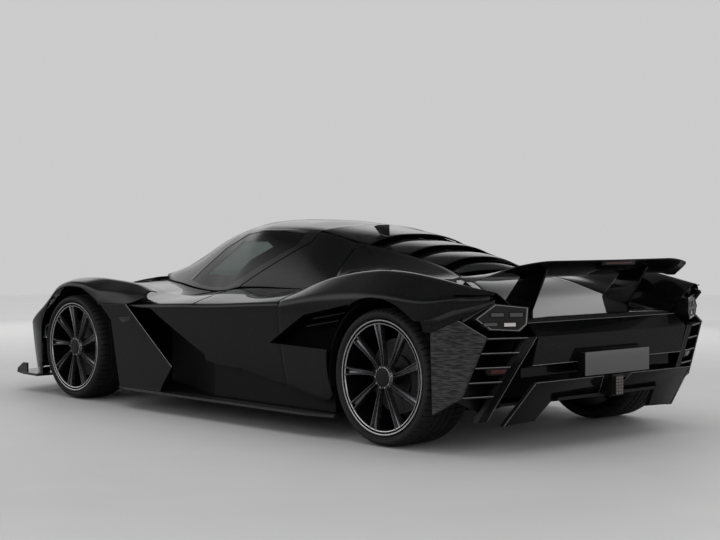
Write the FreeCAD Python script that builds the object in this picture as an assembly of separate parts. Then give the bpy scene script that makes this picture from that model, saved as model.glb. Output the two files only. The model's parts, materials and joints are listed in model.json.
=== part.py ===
"""Two-seat mid-engined hypercar: carbon tub, lift-up cockpit canopy, floating front fenders and tall rear wing.

Millimetres. +X is forward, +Y is the car's left, +Z is up. The origin is on the ground,
midway between the nose and the tail, on the plane of symmetry. Places along the car are
written from the middle of the wheelbase, which is what the wheels fix, and mid() turns
them into X. Tables give the left side; the right side is mirrored.
"""
import FreeCAD
import Part
import os
from math import cos, radians, sin
from FreeCAD import Vector

# Main dimensions
WHEELBASE = 2850.0
DRAWN_WHEELBASE = 2850.0
AXLE_REGION = 900.0
FRONT_OVERHANG = 1036.0
REAR_OVERHANG = 740.0
FLOOR_Z = 112.0
FLOOR_THICK = 14.0

# Panels and gaps
PANEL = 16.0
SEAT_GAP = 0.3
RUN_GAP = 6.0
PIN_PLAY = 0.05

# Cabin
CANOPY_BASE_Z = 745.0
CANOPY_WALL = 34.0
GLASS_WALL = 6.0
GLASS_INSET = 6.3
TUB_WALL = 60.0
TUB_TOP_Z = 690.0
SEAT_Y = (50.0, 400.0)
STEERING_Y = 240.0

# Wheels and tyres
FRONT_TYRE_R = 331.0
REAR_TYRE_R = 346.0
FRONT_RIM_R = FRONT_TYRE_R - 60.0
REAR_RIM_R = REAR_TYRE_R - 67.0
FRONT_TYRE_W = 255.0
REAR_TYRE_W = 315.0
FRONT_FACE_Y = 962.0
REAR_FACE_Y = 968.0
SPOKES = 9
HUB_R = 62.0
DISC_R = FRONT_RIM_R - 81.0
DISC_THICK = 32.0
DISC_Y = 822.0

# Wheel arches, struck from a little above the axle
FRONT_LIP_R = FRONT_TYRE_R + 54.0
REAR_LIP_R = REAR_TYRE_R + 49.0
LIP_RISE = 6.0
WELL_INNER_Y = 540.0

# Cutters reach past the car in every direction
WIDE = 1300.0
HIGH = 1400.0

FRONT_AXLE_X = (WHEELBASE + REAR_OVERHANG - FRONT_OVERHANG) / 2
REAR_AXLE_X = FRONT_AXLE_X - WHEELBASE
MID_X = (FRONT_AXLE_X + REAR_AXLE_X) / 2


def mid(dx):
    """X of a place drawn from the middle of the wheelbase; beyond AXLE_REGION it keeps to its axle."""
    stretch = (WHEELBASE - DRAWN_WHEELBASE) / 2
    return MID_X + dx + stretch * max(-1.0, min(1.0, dx / AXLE_REGION))


def side_line(points):
    """Side-view (x, z) points with x from mid wheelbase."""
    return [(mid(dx), z) for dx, z in points]


def plan_line(points):
    """Plan-view outline that is symmetric about the car's middle, from its left half."""
    return [(mid(dx), y) for dx, y in points] + [(mid(dx), -y) for dx, y in reversed(points)]


def stations(table):
    """Rows of (x from mid wheelbase, y, z, y, z, ...) made into (x, line) stations."""
    return [(mid(row[0]), list(zip(row[1::2], row[2::2]))) for row in table]


def full_stations(table):
    """Stations that run from right to left, from rows that give the left half from the middle out."""
    full = []
    for x, half in stations(table):
        full.append((x, [(-y, z) for y, z in reversed(half)] + half))
    return full


def polygon(points):
    return Part.makePolygon([Vector(*p) for p in points] + [Vector(*points[0])])


def prism(points, direction):
    return Part.Face(polygon(points)).extrude(Vector(*direction))


def box(x0, x1, y0, y1, z0, z1):
    return Part.makeBox(x1 - x0, y1 - y0, z1 - z0, Vector(x0, y0, z0))


def side_prism(outline, y0, y1):
    """Side-view outline of (x, z) points, drawn out from y0 to y1."""
    return prism([(x, y0, z) for x, z in outline], (0, y1 - y0, 0))


def plan_prism(outline, z0, z1):
    """Plan-view outline of (x, y) points, drawn up from z0 to z1."""
    return prism([(x, y, z0) for x, y in outline], (0, 0, z1 - z0))


def cylinder_y(x, y0, y1, z, radius):
    return Part.makeCylinder(radius, y1 - y0, Vector(x, y0, z), Vector(0, 1, 0))


def tube(a, b, radius):
    axis = Vector(*b) - Vector(*a)
    return Part.makeCylinder(radius, axis.Length, Vector(*a), axis)


def revolved(profile, x, z):
    """A closed (radius, y) profile turned about an axle at (x, z)."""
    wire = polygon([(x + r, y, z) for r, y in profile])
    return Part.Face(wire).revolve(Vector(x, 0, z), Vector(0, 1, 0), 360)


def loft(sections):
    return Part.makeLoft([polygon(s) for s in sections], True, True)


def mirrored(shape):
    return shape.mirror(Vector(0, 0, 0), Vector(0, 1, 0))


def both(shape):
    return [shape, mirrored(shape)]


def pair(shape):
    """The left piece and its mirror image as one part."""
    return Part.makeCompound(both(shape))


def joined(shapes):
    result = shapes[0]
    for shape in shapes[1:]:
        result = result.fuse(shape)
    return result.removeSplitter()


def largest(shape):
    """The biggest solid, where a cut leaves slivers beyond the piece that is wanted."""
    return max(shape.Solids, key=lambda solid: solid.Volume)


# An inner edge is cut plumb unless the panel starts almost upright
LEAST_RISE = 0.3


def edge_step(normal, depth, plumb):
    """Inward step at a panel's edge, straight down or else level."""
    if plumb:
        return 0.0, depth / normal[1]
    return depth / normal[0], 0.0


def offset_line(points, depth):
    """The (y, z) polyline moved inwards by depth, with mitred corners and square edges."""
    moved = []
    normals = []
    for (y0, z0), (y1, z1) in zip(points, points[1:]):
        run = ((y1 - y0) ** 2 + (z1 - z0) ** 2) ** 0.5
        normals.append((-(z1 - z0) / run, (y1 - y0) / run))
    for i, (y, z) in enumerate(points):
        if i in (0, len(points) - 1):
            normal = normals[min(i, len(normals) - 1)]
            least = LEAST_RISE if i == 0 else abs(normal[0])
            step = edge_step(normal, depth, abs(normal[1]) > least)
        else:
            a, b = normals[i - 1], normals[i]
            scale = depth / (1 + a[0] * b[0] + a[1] * b[1])
            step = ((a[0] + b[0]) * scale, (a[1] + b[1]) * scale)
        moved.append((y - step[0], z - step[1]))
    return moved


def skin(rows, depth=PANEL):
    """A panel of even depth: each station is (x, [(y, z), ...]) from the inner top edge outwards."""
    sections = []
    for x, line in rows:
        inner = offset_line(line, depth)
        sections.append([(x, y, z) for y, z in line] + [(x, y, z) for y, z in reversed(inner)])
    return loft(sections)


parts = {}

# Greenhouse: canopy and fixed buttresses start as one bubble, divided along the shut line
# Columns: x, base y, base z, shoulder y, shoulder z, crown z
GREENHOUSE = [
    (1655, 45, CANOPY_BASE_Z, 26, 757, 764),
    (1400, 215, 740, 135, 799, 826),
    (1090, 340, 731, 198, 878, 944),
    (842, 415, 713, 235, 965, 1043),
    (600, 468, 702, 265, 1038, 1103),
    (445, 503, 708, 300, 1064, 1128),
    (200, 545, 738, 372, 1081, 1140),
    (-100, 570, CANOPY_BASE_Z, 398, 1082, 1135),
    (-345, 585, CANOPY_BASE_Z, 410, 1076, 1108),
    (-655, 600, CANOPY_BASE_Z, 392, 1008, 1059),
]
SIDE_BULGE = 20.0
LEAST_BASE_Y = 20.0
LEAST_SHOULDER_Y = 12.0
LEAST_SHOULDER_RISE = 4.0
LEAST_CROWN_RISE = 7.0


def greenhouse(inset):
    """The closed bubble, made smaller all round by inset, but let down by as much at its base."""
    wires = []
    for dx, base_y, low, shoulder_y, shoulder_z, crown_z in GREENHOUSE:
        x = mid(dx)
        b = max(base_y - inset, LEAST_BASE_Y)
        s = max(shoulder_y - inset * 0.75, LEAST_SHOULDER_Y)
        sz = max(shoulder_z - inset * 0.9, low + LEAST_SHOULDER_RISE)
        cz = max(crown_z - inset, low + LEAST_CROWN_RISE)
        bulge_y = (b + s) / 2 + SIDE_BULGE
        bulge_z = (low + sz) / 2 + 10
        low -= inset
        edges = [
            Part.Arc(Vector(x, -b, low), Vector(x, -bulge_y, bulge_z), Vector(x, -s, sz)).toShape(),
            Part.Arc(Vector(x, -s, sz), Vector(x, 0, cz), Vector(x, s, sz)).toShape(),
            Part.Arc(Vector(x, s, sz), Vector(x, bulge_y, bulge_z), Vector(x, b, low)).toShape(),
            Part.LineSegment(Vector(x, b, low), Vector(x, -b, low)).toShape(),
        ]
        wires.append(Part.Wire(edges))
    return Part.makeLoft(wires, True, True)


# The shut line climbs along the side and crosses the roof behind the doors
SEAM = [(348, 690), (-330, 1010), (-345, 1076), (-345, HIGH)]
SEAM_BACK = 6.0
SEAM_DOWN = 5.0


def behind_seam(back, down):
    """Everything behind the canopy's shut line, moved back and down to leave a running gap."""
    outline = [(mid(dx) - back, z - down) for dx, z in SEAM]
    outline += [(mid(-900), HIGH), (mid(-900), 0), (mid(SEAM[0][0]) - back, 0)]
    return side_prism(outline, -WIDE, WIDE)


# Engine cover. Columns: x, edge y, edge z, crown z
COVER = [
    (-351, 402.6, 1075, 1107),
    (-655, 385, 1008, 1059),
    (-985, 318, 940, 982),
    (-1230, 292, 876, 917),
    (-1322, 288, 848, 862),
]
COVER_GAP = 7.0
cover_outline = [(-300, COVER[0][1] + COVER_GAP)] + [(dx, y + COVER_GAP) for dx, y, edge_z, crown_z in COVER]
bubble_shell = greenhouse(0).cut(greenhouse(CANOPY_WALL))
fixed_side = behind_seam(0, 0)
buttresses = bubble_shell.common(behind_seam(SEAM_BACK, SEAM_DOWN)).cut(plan_prism(plan_line(cover_outline), 800, HIGH))
parts["buttresses"] = Part.makeCompound(buttresses.Solids)

# Windows: side view outline of the side glass, and left half plan of the windscreen
SIDE_GLASS = [
    (930, 752), (800, 734), (600, 720), (450, 726), (330, 752), (-205, 984),
    (-235, 1052), (-20, 1066), (200, 1066), (430, 1046), (640, 965),
]
SCREEN = [(1590, 25), (1446, 150), (1196, 262), (1010, 312), (640, 262), (470, 240)]
SIDE_GLASS_INNER_Y = 180.0
side_window = side_prism(side_line(SIDE_GLASS), SIDE_GLASS_INNER_Y, WIDE)
screen_window = plan_prism(plan_line(SCREEN), CANOPY_BASE_Z + 8, HIGH)
windows = both(side_window) + [screen_window]
canopy = bubble_shell.cut(fixed_side)
for window in windows:
    canopy = canopy.cut(window)
glass_shell = greenhouse(GLASS_INSET).cut(greenhouse(GLASS_INSET + GLASS_WALL)).cut(fixed_side)
parts["canopy_glass"] = Part.makeCompound([glass_shell.common(window) for window in windows])

# Tub: floor, sills and bulkheads, open at the top under the canopy
TUB_FLOOR_Z = FLOOR_Z + FLOOR_THICK + SEAT_GAP
CABIN_FLOOR_Z = TUB_FLOOR_Z + TUB_WALL
TUB_NOSE_Y = 300.0
TUB = [(1690, TUB_NOSE_Y), (1060, TUB_NOSE_Y), (1000, 345), (700, 425), (445, 480), (200, 520), (-490, 555)]
CABIN = [(980, 285), (700, 365), (445, 420), (200, 460), (-430, 495)]
NOSE_CUT = [(1060, HIGH), (1060, 640), (1700, 470), (1800, 470), (1800, HIGH)]
tub = plan_prism(plan_line(TUB), TUB_FLOOR_Z, TUB_TOP_Z)
tub = tub.cut(plan_prism(plan_line(CABIN), CABIN_FLOOR_Z, HIGH))
tub = tub.cut(side_prism(side_line(NOSE_CUT), -WIDE, WIDE))

# Canopy hinge: a pin between two ears on the tub's nose, and a lug on the canopy's tip
HINGE_X = mid(1692)
HINGE_Z = 742.0
HINGE_PIN_R = 5.0
LUG_R = 9.0
LUG_Y = 16.0
EAR_INNER_Y = 22.0
EAR_OUTER_Y = 30.0
ear = box(HINGE_X - 14, HINGE_X + LUG_R, EAR_INNER_Y, EAR_OUTER_Y, 460, HINGE_Z + LUG_R)
pin = cylinder_y(HINGE_X, -EAR_OUTER_Y, EAR_OUTER_Y, HINGE_Z, HINGE_PIN_R)
parts["monocoque"] = joined([tub, pin] + both(ear))
lug = box(mid(1630), HINGE_X, -LUG_Y, LUG_Y, HINGE_Z - LUG_R, HINGE_Z + LUG_R)
lug = lug.fuse(cylinder_y(HINGE_X, -LUG_Y, LUG_Y, HINGE_Z, LUG_R))
lug = lug.cut(cylinder_y(HINGE_X, -LUG_Y, LUG_Y, HINGE_Z, HINGE_PIN_R + PIN_PLAY))
parts["canopy_frame"] = canopy.fuse(lug).removeSplitter()

# Floor and the blades along the sills
FLOOR = [
    (1690, 440), (1046, 440), (1000, 860), (900, 900),
    (-1000, 925), (-1050, 925), (-1050, 560), (-1300, 560),
]
SILL_BLADE = [
    (925, 905), (900, 960), (780, 1004), (-900, 1004),
    (-1075, 960), (-1075, 930), (-1000, 925 + SEAT_GAP), (905, 900 + SEAT_GAP),
]
FLOOR_TOP = FLOOR_Z + FLOOR_THICK
parts["floor_pan"] = plan_prism(plan_line(FLOOR), FLOOR_Z, FLOOR_TOP)
parts["sill_blades"] = pair(plan_prism(side_line(SILL_BLADE), FLOOR_Z, FLOOR_TOP))

# Nose cover. Columns: x, then (y, z) of the crown, the fall and the fender's seam
NOSE = [
    (2461, 20, 424, 45, 420, 62, 408),
    (2300, 80, 522, 200, 505, 350, 440),
    (2032, 130, 640, 320, 615, 485, 556),
    (1812, 120, 710, 330, 682, 516, 628),
    (1664, 120, 752, 360, 716, 542, 655),
]
hinge_notch = box(mid(1600), HINGE_X + 17, -EAR_OUTER_Y - 7, EAR_OUTER_Y + 7, 600, 900)
parts["nose_cover"] = skin(full_stations(NOSE)).cut(hinge_notch)

# Splitter with its end plates
SPLITTER = [
    (2461, 0), (2440, 140), (2280, 560), (2150, 930),
    (2032, 962), (1840, 972), (1840, 560), (1700, 440),
]
SPLITTER_TOP = FLOOR_Z + 16.0
END_PLATE = [(2120, 120), (2110, 150), (2040, 190), (1990, 190), (1990, 120)]
splitter = plan_prism(plan_line(SPLITTER), FLOOR_Z, SPLITTER_TOP)
end_plate = side_prism(side_line(END_PLATE), 946, 958)
parts["front_splitter"] = joined([splitter] + both(end_plate))


def arch(axle_x, axle_z, radius):
    return cylinder_y(axle_x, WELL_INNER_Y, WIDE, axle_z + LIP_RISE, radius)


# The front arch is left open at its lower rear, ahead of the vane
ARCH_TAIL = [(1425, 600), (1230, 716), (929, 525), (866, 100), (1425, 100)]
front_arch = arch(FRONT_AXLE_X, FRONT_TYRE_R, FRONT_LIP_R)
front_arch = front_arch.fuse(side_prism(side_line(ARCH_TAIL), WELL_INNER_Y, WIDE))
rear_arch = arch(REAR_AXLE_X, REAR_TYRE_R, REAR_LIP_R)

# Front fender. Columns: x, inner foot z, then (y, z) of inner edge, inner shoulder, crest, outer shoulder, lower edge
FENDER_FOOT = SPLITTER_TOP + SEAT_GAP
FENDER = [
    (2300, FENDER_FOOT, 350.3, 440, 430, 455, 540, 450, 630, 400, 640, FENDER_FOOT),
    (2032, FENDER_FOOT, 485.3, 556, 600, 585, 760, 560, 895, 471, 905, FENDER_FOOT),
    (1812, FENDER_FOOT, 516.3, 628, 660, 650, 830, 622, 956, 535, 972, FENDER_FOOT),
    (1664, 600, 542.3, 655, 680, 686, 845, 672, 962, 612, 976, FENDER_FOOT),
    (1588, 640, 556, 664, 700, 718, 850, 715, 968, 694, 980, 560),
    (1425, 668, 580, 690, 720, 744, 850, 758, 974, 738, 986, 700),
    (1269, 680, 612, 708, 740, 752, 860, 776, 976, 738, 988, 680),
    (1049, 706, 690, 728, 780, 747, 870, 768, 976, 700, 988, 615),
    (869, 708, 750, 730, 810, 746, 880, 753, 968, 700, 986, 622),
    (754, 700, 800, 722, 845, 733, 890, 735, 956, 696, 984, 634),
    (615, 684, 872, 704, 898, 710, 920, 709, 942, 697, 956, 676),
]
# Inlet in the fender's front end, as a frame under the headlamp: (y, z) outlines
INLET_OUTER = [(350.3, 326), (640, 326), (640, FENDER_FOOT), (350.3, FENDER_FOOT)]
INLET_INNER = [(384, 294), (604, 294), (606, 162), (384, 162)]
INLET_DEPTH = 14.0
fender_lines = []
for row in FENDER:
    fender_lines.append((mid(row[0]), [(row[2], row[1])] + list(zip(row[2::2], row[3::2]))))
inlet = prism([(mid(2300), y, z) for y, z in INLET_OUTER], (-INLET_DEPTH, 0, 0))
inlet = inlet.cut(prism([(mid(2301), y, z) for y, z in INLET_INNER], (-INLET_DEPTH - 2, 0, 0)))
fender = skin(fender_lines).fuse(inlet).removeSplitter().cut(front_arch)
parts["front_fender_left"] = fender
parts["front_fender_right"] = mirrored(fender)

# The fender's tail floats over the flank, so the flank is cut away below it
under_fender = []
for x, line in fender_lines[3:10]:
    line = line[1:]
    under_fender.append([(x, y, z) for y, z in line] + [(x, line[-1][0], 300.0), (x, line[0][0], 300.0)])
under_fender = loft(under_fender)

# Radiators behind the front openings, on the keel that carries the nose
RADIATOR_X = (1855, 1895)
RADIATOR_Y = (55.0, 470.0)
RADIATOR_TOP = 560.0
KEEL = [(1700, FENDER_FOOT), (1700, 450), (1900, 560), (2380, 400), (2300, 250), (2200, FENDER_FOOT)]
KEEL_HALF = 56.0
radiator = box(mid(RADIATOR_X[0]), mid(RADIATOR_X[1]), *RADIATOR_Y, FENDER_FOOT, RADIATOR_TOP)
keel = side_prism(side_line(KEEL), -KEEL_HALF, KEEL_HALF)
radiators = joined([keel] + both(radiator))
for side in both(fender):
    radiators = radiators.cut(side)
parts["radiators"] = radiators.cut(parts["nose_cover"]).cut(parts["monocoque"])

# Headlamps: slim blocks in the fenders' front ends
LAMP_FRONT = [(440, 330), (450, 460), (540, 460), (640, 400), (640, 330)]
LAMP_DEPTH = 90.0
headlamp = prism([(mid(2299), y, z) for y, z in LAMP_FRONT], (-LAMP_DEPTH, 0, 0))
parts["headlamps"] = pair(largest(headlamp.cut(fender)))

# Vane behind the front wheel, standing on the sill blade under the fender's edge
VANE = [
    (1040, 615), (869, 621.5), (763, 627), (314, 279), (422, 159),
    (440, FLOOR_TOP + SEAT_GAP), (866, FLOOR_TOP + SEAT_GAP), (872, 159), (933, 525),
]
VANE_Y = 960.0
VANE_THICK = 14.0
VANE_LEAN = 0.045
vane_face = [(mid(dx), VANE_Y + (z - FLOOR_TOP) * VANE_LEAN, z) for dx, z in VANE]
parts["front_vanes"] = pair(prism(vane_face, (0, VANE_THICK, 0)).cut(fender))

FIXED_LEDGE_Z = CANOPY_BASE_Z - SEAT_GAP
# Flank. Columns: x, then (y, z) of inner edge under the canopy, shelf, belt, mid side, lower edge
FLANK = [
    (1663.7, 30, 739, 360, 713, 540, 645, 548, 634, 552, 620),
    (1400, 180, 734, 420, 722, 566, 682, 574, 670, 578, 656),
    (1100, 300, 726, 560, 712, 745, 676, 756, 662, 760, 646),
    (900, 360, 711, 640, 700, 900, 648, 908, 632, 910, 614),
    (754, 400, 704, 700, 686, 974, 627, 974, 610, 970, 580),
    (537, 440, 697, 740, 682, 978, 636, 975, 560, 965, 490),
    (152, 515, 736, 780, 704, 982, 650, 970, 515, 945, 370),
    (48, 525, FIXED_LEDGE_Z - 4, 790, 710, 982, 652, 968, 500, 935, 335),
    (-345, 550, FIXED_LEDGE_Z, 810, 722, 983, 673, 968, 487, 924, 292),
    (-655, 570, FIXED_LEDGE_Z - 0.7, 840, 750, 985, 690, 968, 470, 915, 240),
]
# Side views: the channel that the flank stands behind, the intake, and two low vents in the flank
CHANNEL = [(537, 612), (48, 368), (48, 100), (1750, 100), (1750, 612)]
INTAKE = [(-563, 470), (-865, 635), (-1235, 706), (-1047, 463)]
VENTS = [
    [(-84, 246), (-126, 301), (-209, 311), (-286, 308)],
    [(-223, 209), (-360, 262), (-493, 264), (-360, 216)],
]
CHANNEL_Y = 400.0
INTAKE_Y = 880.0
channel = side_prism(side_line(CHANNEL), CHANNEL_Y, WIDE)
intake = side_prism(side_line(INTAKE), INTAKE_Y, WIDE)
flank = skin(stations(FLANK)).cut(channel).cut(intake).cut(under_fender)
flank = flank.cut(plan_prism(plan_line(TUB), 0, TUB_TOP_Z + SEAT_GAP))

# Haunch. Columns: x, then (y, z) of inner edge, buttress side, foot, crease, belt, mid side, lower edge
HAUNCH = [
    (-655.3, 392, 1008, 514, 886, 596, 782, 850, 752, 985, 690, 968, 470, 915, 238),
    (-985, 325, 940, 500, 868, 680, 838, 870, 838, 987, 735, 982, 463, 930, 180),
    (-1230, 299, 876, 490, 836, 690, 848, 874, 874, 1003, 752, 1000, 600, 990, 480),
    (-1350, 299, 838, 480, 822, 690, 852, 880, 882, 1014, 757, 1008, 650, 1000, 560),
    (-1477, 350.3, 812, 510, 812, 700, 850, 882, 878, 1020, 760, 1013, 700, 1006, 640),
    (-1745, 470.3, 718, 600, 752, 730, 806, 866, 847, 1012, 742, 1006, 690, 998, 640),
    (-1900, 514.6, 682, 620, 716, 730, 766, 846, 818, 952, 762, 954, 730, 948, 696),
    (-2050, 558, 646, 630, 680, 720, 738, 806, 790, 836, 778, 846, 758, 846, 738),
]
# Oval outlet in the haunch's inner slope
OUTLET = (-1790.0, 655.0, 780.0)
OUTLET_R = 62.0
OUTLET_AIM = (-0.45, -0.45, 0.77)
rear_side = skin(stations(HAUNCH)).cut(rear_arch).cut(intake)
outlet_mouth = Vector(mid(OUTLET[0]), OUTLET[1], OUTLET[2]) - Vector(*OUTLET_AIM) * 70
rear_side = rear_side.cut(Part.makeCylinder(OUTLET_R, 140, outlet_mouth, Vector(*OUTLET_AIM)))
# What is left of the side below the intake belongs to the flank
sill_box = box(mid(-1070), mid(-600), 600, WIDE, 0, INTAKE[0][1] + 4)
haunch = largest(rear_side.cut(sill_box))
sill_end = rear_side.common(sill_box)
parts["haunch_left"] = haunch
parts["haunch_right"] = mirrored(haunch)
# The haunch starts a seat gap behind the flank, so its piece moves up by what lies between them
sill_gap = round(mid(FLANK[-1][0]) - mid(HAUNCH[0][0]), 6)
sill_end.translate(Vector(sill_gap, 0, 0))
flank = flank.fuse(sill_end)
for vent in VENTS:
    flank = flank.cut(side_prism(side_line(vent), CHANNEL_Y, WIDE))
parts["flank_left"] = flank
parts["flank_right"] = mirrored(flank)

# Skirts that close the side between the floor and the flank: plan line, and side view of the top
SKIRT = [(900, 560), (560, 690), (60, 862), (-500, 872), (-1000, 878)]
SKIRT_SIDE = [(900, 0), (900, 620), (-420, 620), (-530, 440), (-1000, 430), (-1000, 0)]
SKIRT_THICK = 8.0
skirt_plan = side_line(SKIRT) + [(x, y - SKIRT_THICK) for x, y in reversed(side_line(SKIRT))]
skirt = plan_prism(skirt_plan, FLOOR_TOP + SEAT_GAP, HIGH).common(side_prism(side_line(SKIRT_SIDE), 0, WIDE))
parts["side_skirts"] = pair(skirt.cut(flank))

# Intake trays let into the flanks ahead of the rear wheels
TRAY = [(-535, 458), (-855, 650), (-1260, 724), (-1060, 448)]
TRAY_Y = (868.0, 962.0)
tray = side_prism(side_line(TRAY), *TRAY_Y).cut(intake)
parts["side_intakes"] = pair(largest(tray.cut(flank).cut(haunch).cut(rear_arch)))

# Deck. Columns: x, edge y, edge z, middle z
DECK = [
    (-1356, 301, 836.5, 820),
    (-1477, 350, 812, 806),
    (-1745, 470, 718, 724),
    (-2050, 557.7, 646, 649),
]
CROWN_SHARE = 0.5


def crowned(table):
    """Stations that are level over the middle part and fall to the edges."""
    rows = []
    for dx, edge_y, edge_z, crown_z in table:
        rows.append((dx, edge_y * CROWN_SHARE, crown_z, edge_y, edge_z))
    return full_stations(rows)


def cover_section(dx):
    """Edge y, edge z and crown z of the cover at any place between two rows of its table."""
    for front, back in zip(COVER, COVER[1:]):
        if back[0] <= dx <= front[0]:
            t = (dx - front[0]) / (back[0] - front[0])
            return [a + (b - a) * t for a, b in zip(front[1:], back[1:])]


# Louvres: a slot across the cover under a blade that rises to the rear. Columns: x, half width
LOUVRES = [(-691, 364), (-935, 312), (-1172, 284)]
SLOT_LENGTH = 40.0
BLADE_LENGTH = 54.0
BLADE_LIFT = 10.0
BLADE_END_LIFT = 2.4
BLADE_THICK = 6.0


def louvre_blade(dx, half_width):
    rows = []
    for place, lift in ((dx + 12, -2.0), (dx - BLADE_LENGTH, BLADE_LIFT)):
        edge_y, edge_z, crown_z = cover_section(place)
        share = (edge_y - half_width) / (edge_y * (1 - CROWN_SHARE))
        end_z = edge_z + (crown_z - edge_z) * share
        rows.append((place, edge_y * CROWN_SHARE, crown_z + lift, half_width, end_z + lift * BLADE_END_LIFT))
    return skin(full_stations(rows), BLADE_THICK)


cover = skin(crowned(COVER))
for dx, half_width in LOUVRES:
    cover = cover.cut(box(mid(dx) - SLOT_LENGTH, mid(dx), -half_width, half_width, 700, HIGH))
    cover = cover.fuse(louvre_blade(dx, half_width))
AERIAL = [(-655, 1040), (-600, 1098), (-640, 1107), (-728, 1107), (-728, 1030)]
AERIAL_Y = (225.0, 235.0)
cover = cover.fuse(side_prism(side_line(AERIAL), *AERIAL_Y))
deck = skin(crowned(DECK))

# The cover turns on two pins ahead of the deck's front edge, each between two ears
LID_HINGE_X = mid(-1336)
LID_HINGE_Z = 822.0
LID_PIN_R = 4.0
LID_HINGE_YS = (-110.0, 110.0)
LID_LUG_Y = 12.0
LID_EAR_Y = (17.0, 24.0)
for y in LID_HINGE_YS:
    lug = box(LID_HINGE_X - 7, LID_HINGE_X + 20, y - LID_LUG_Y, y + LID_LUG_Y, LID_HINGE_Z - 7, LID_HINGE_Z + 28)
    bore = cylinder_y(LID_HINGE_X, y - LID_LUG_Y, y + LID_LUG_Y, LID_HINGE_Z, LID_PIN_R + PIN_PLAY)
    cover = cover.fuse(lug).cut(bore)
    for near, far in ((-LID_EAR_Y[1], -LID_EAR_Y[0]), LID_EAR_Y):
        ear = box(LID_HINGE_X - 40, LID_HINGE_X + 6, y + near, y + far, LID_HINGE_Z - 14, LID_HINGE_Z + 6)
        deck = deck.fuse(ear)
    deck = deck.fuse(cylinder_y(LID_HINGE_X, y - LID_EAR_Y[1], y + LID_EAR_Y[1], LID_HINGE_Z, LID_PIN_R))
parts["engine_cover"] = cover.removeSplitter()
parts["rear_deck"] = deck.removeSplitter()

# Tail fascia with its number plate, leaning back to a crease and under it again
FASCIA = [
    (-2050.3, 630), (-2064, 634), (-2141, 570), (-2105, 429), (-2030, 412), (-2030, 362),
    (-2018, 362), (-2018, 422), (-2091, 440), (-2125, 564), (-2062, 617), (-2050.3, 612),
]
FASCIA_Y = 600.0
PLATE_Y = 260.0
fascia = side_prism(side_line(FASCIA), -FASCIA_Y, FASCIA_Y)
plate = largest(box(mid(-2119), mid(-2105), -PLATE_Y, PLATE_Y, 362, 474).cut(fascia))
parts["tail_fascia"] = Part.makeCompound([fascia, plate])

# Tail corner: carbon panel behind the wheel, on an upright plane that runs in towards the tail
CORNER = [(-1795, 589), (-1926, 650), (-2055, 575), (-1938, 279), (-1805, 195)]
CORNER_X = CORNER[2][0]
CORNER_Y = 875.0
CORNER_SLOPE = 0.427
CORNER_THICK = 12.0
corner_face = [(mid(dx), CORNER_Y + (dx - CORNER_X) * CORNER_SLOPE, z) for dx, z in CORNER]
corner = prism(corner_face, (0, -CORNER_THICK, 0)).cut(haunch)
parts["rear_corner_panels"] = pair(corner)

# Tail corner slats, from the panel's rear edge in to a raked pillar, on a bulkhead
BULKHEAD_X = CORNER_X + 155.0
BULKHEAD_THICK = 12.0
BULKHEAD = [(604, 210), (604, 620), (640, 700), (760, 740), (880, 740), (932, 640), (932, 270), (740, 190)]
SLAT_TOPS = [571, 500, 429, 357, 285]
SLAT_THICK = 9.0
PANEL_EDGE = [(-2053, 861, 575), (-1936, 911, 279)]
PILLAR_OUTER = [(-2133, 668, 572), (-1917, 784, 152)]
PILLAR_INNER = [(-2141, 613, 570), (-1925, 729, 152)]
PILLAR_DEPTH = (26.0, 6.0)
WEB = [(-2080, 560), (-1900, 560), (-1900, 220), (-1960, 240)]
WEB_Y = (700.0, 708.0)


def between(ends, z):
    """Plan place at height z on the line between two (x, y, z) ends."""
    (x0, y0, z0), (x1, y1, z1) = ends
    t = (z - z0) / (z1 - z0)
    return mid(x0 + (x1 - x0) * t), y0 + (y1 - y0) * t


bulkhead = prism([(mid(BULKHEAD_X), y, z) for y, z in BULKHEAD], (BULKHEAD_THICK, 0, 0))
slats = []
for z in SLAT_TOPS:
    outer = between(PANEL_EDGE, z)
    inner = between(PILLAR_OUTER, z)
    slat = [outer, inner, (mid(BULKHEAD_X), inner[1]), (mid(BULKHEAD_X), outer[1] + 3)]
    slats.append(plan_prism(slat, z - SLAT_THICK, z))
pillar_sections = []
for (x0, y0, z0), (x1, y1, z1) in zip(PILLAR_INNER, PILLAR_OUTER):
    dx, dy = PILLAR_DEPTH
    near, far = (mid(x0), y0, z0), (mid(x1), y1, z1)
    pillar_sections.append([near, far, (mid(x1) + dx, y1 + dy, z1), (mid(x0) + dx, y0 + dy, z0)])
web = side_prism(side_line(WEB), *WEB_Y)
tail_corner = joined([bulkhead] + slats + [loft(pillar_sections), web])
tail_corner = largest(tail_corner.cut(haunch).cut(corner).cut(fascia))
parts["tail_grilles"] = pair(tail_corner)

# Tail lamp pod above the slats: (y, z) outline on a face that runs back towards the middle
LAMP = [(900, 660), (810, 733), (648, 713), (653, 631), (688, 597), (832, 606)]
LAMP_X = CORNER_X + 55.0
LAMP_Y = 907.0
LAMP_SLOPE = 0.468
lamp = prism([(mid(LAMP_X - (LAMP_Y - y) * LAMP_SLOPE), y, z) for y, z in LAMP], (240, 0, 0))
lamp = lamp.cut(box(mid(BULKHEAD_X), mid(-1500), 500, 1000, 500, 900))
parts["tail_lamps"] = pair(largest(lamp.cut(corner).cut(haunch).cut(tail_corner)))

# Diffuser ramp. Columns: x, half width, lower z
RAMP = [(-1300.3, 560, 112), (-1560, 556, 155), (-1860, 430, 204), (-2110, 418, 246)]
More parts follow.
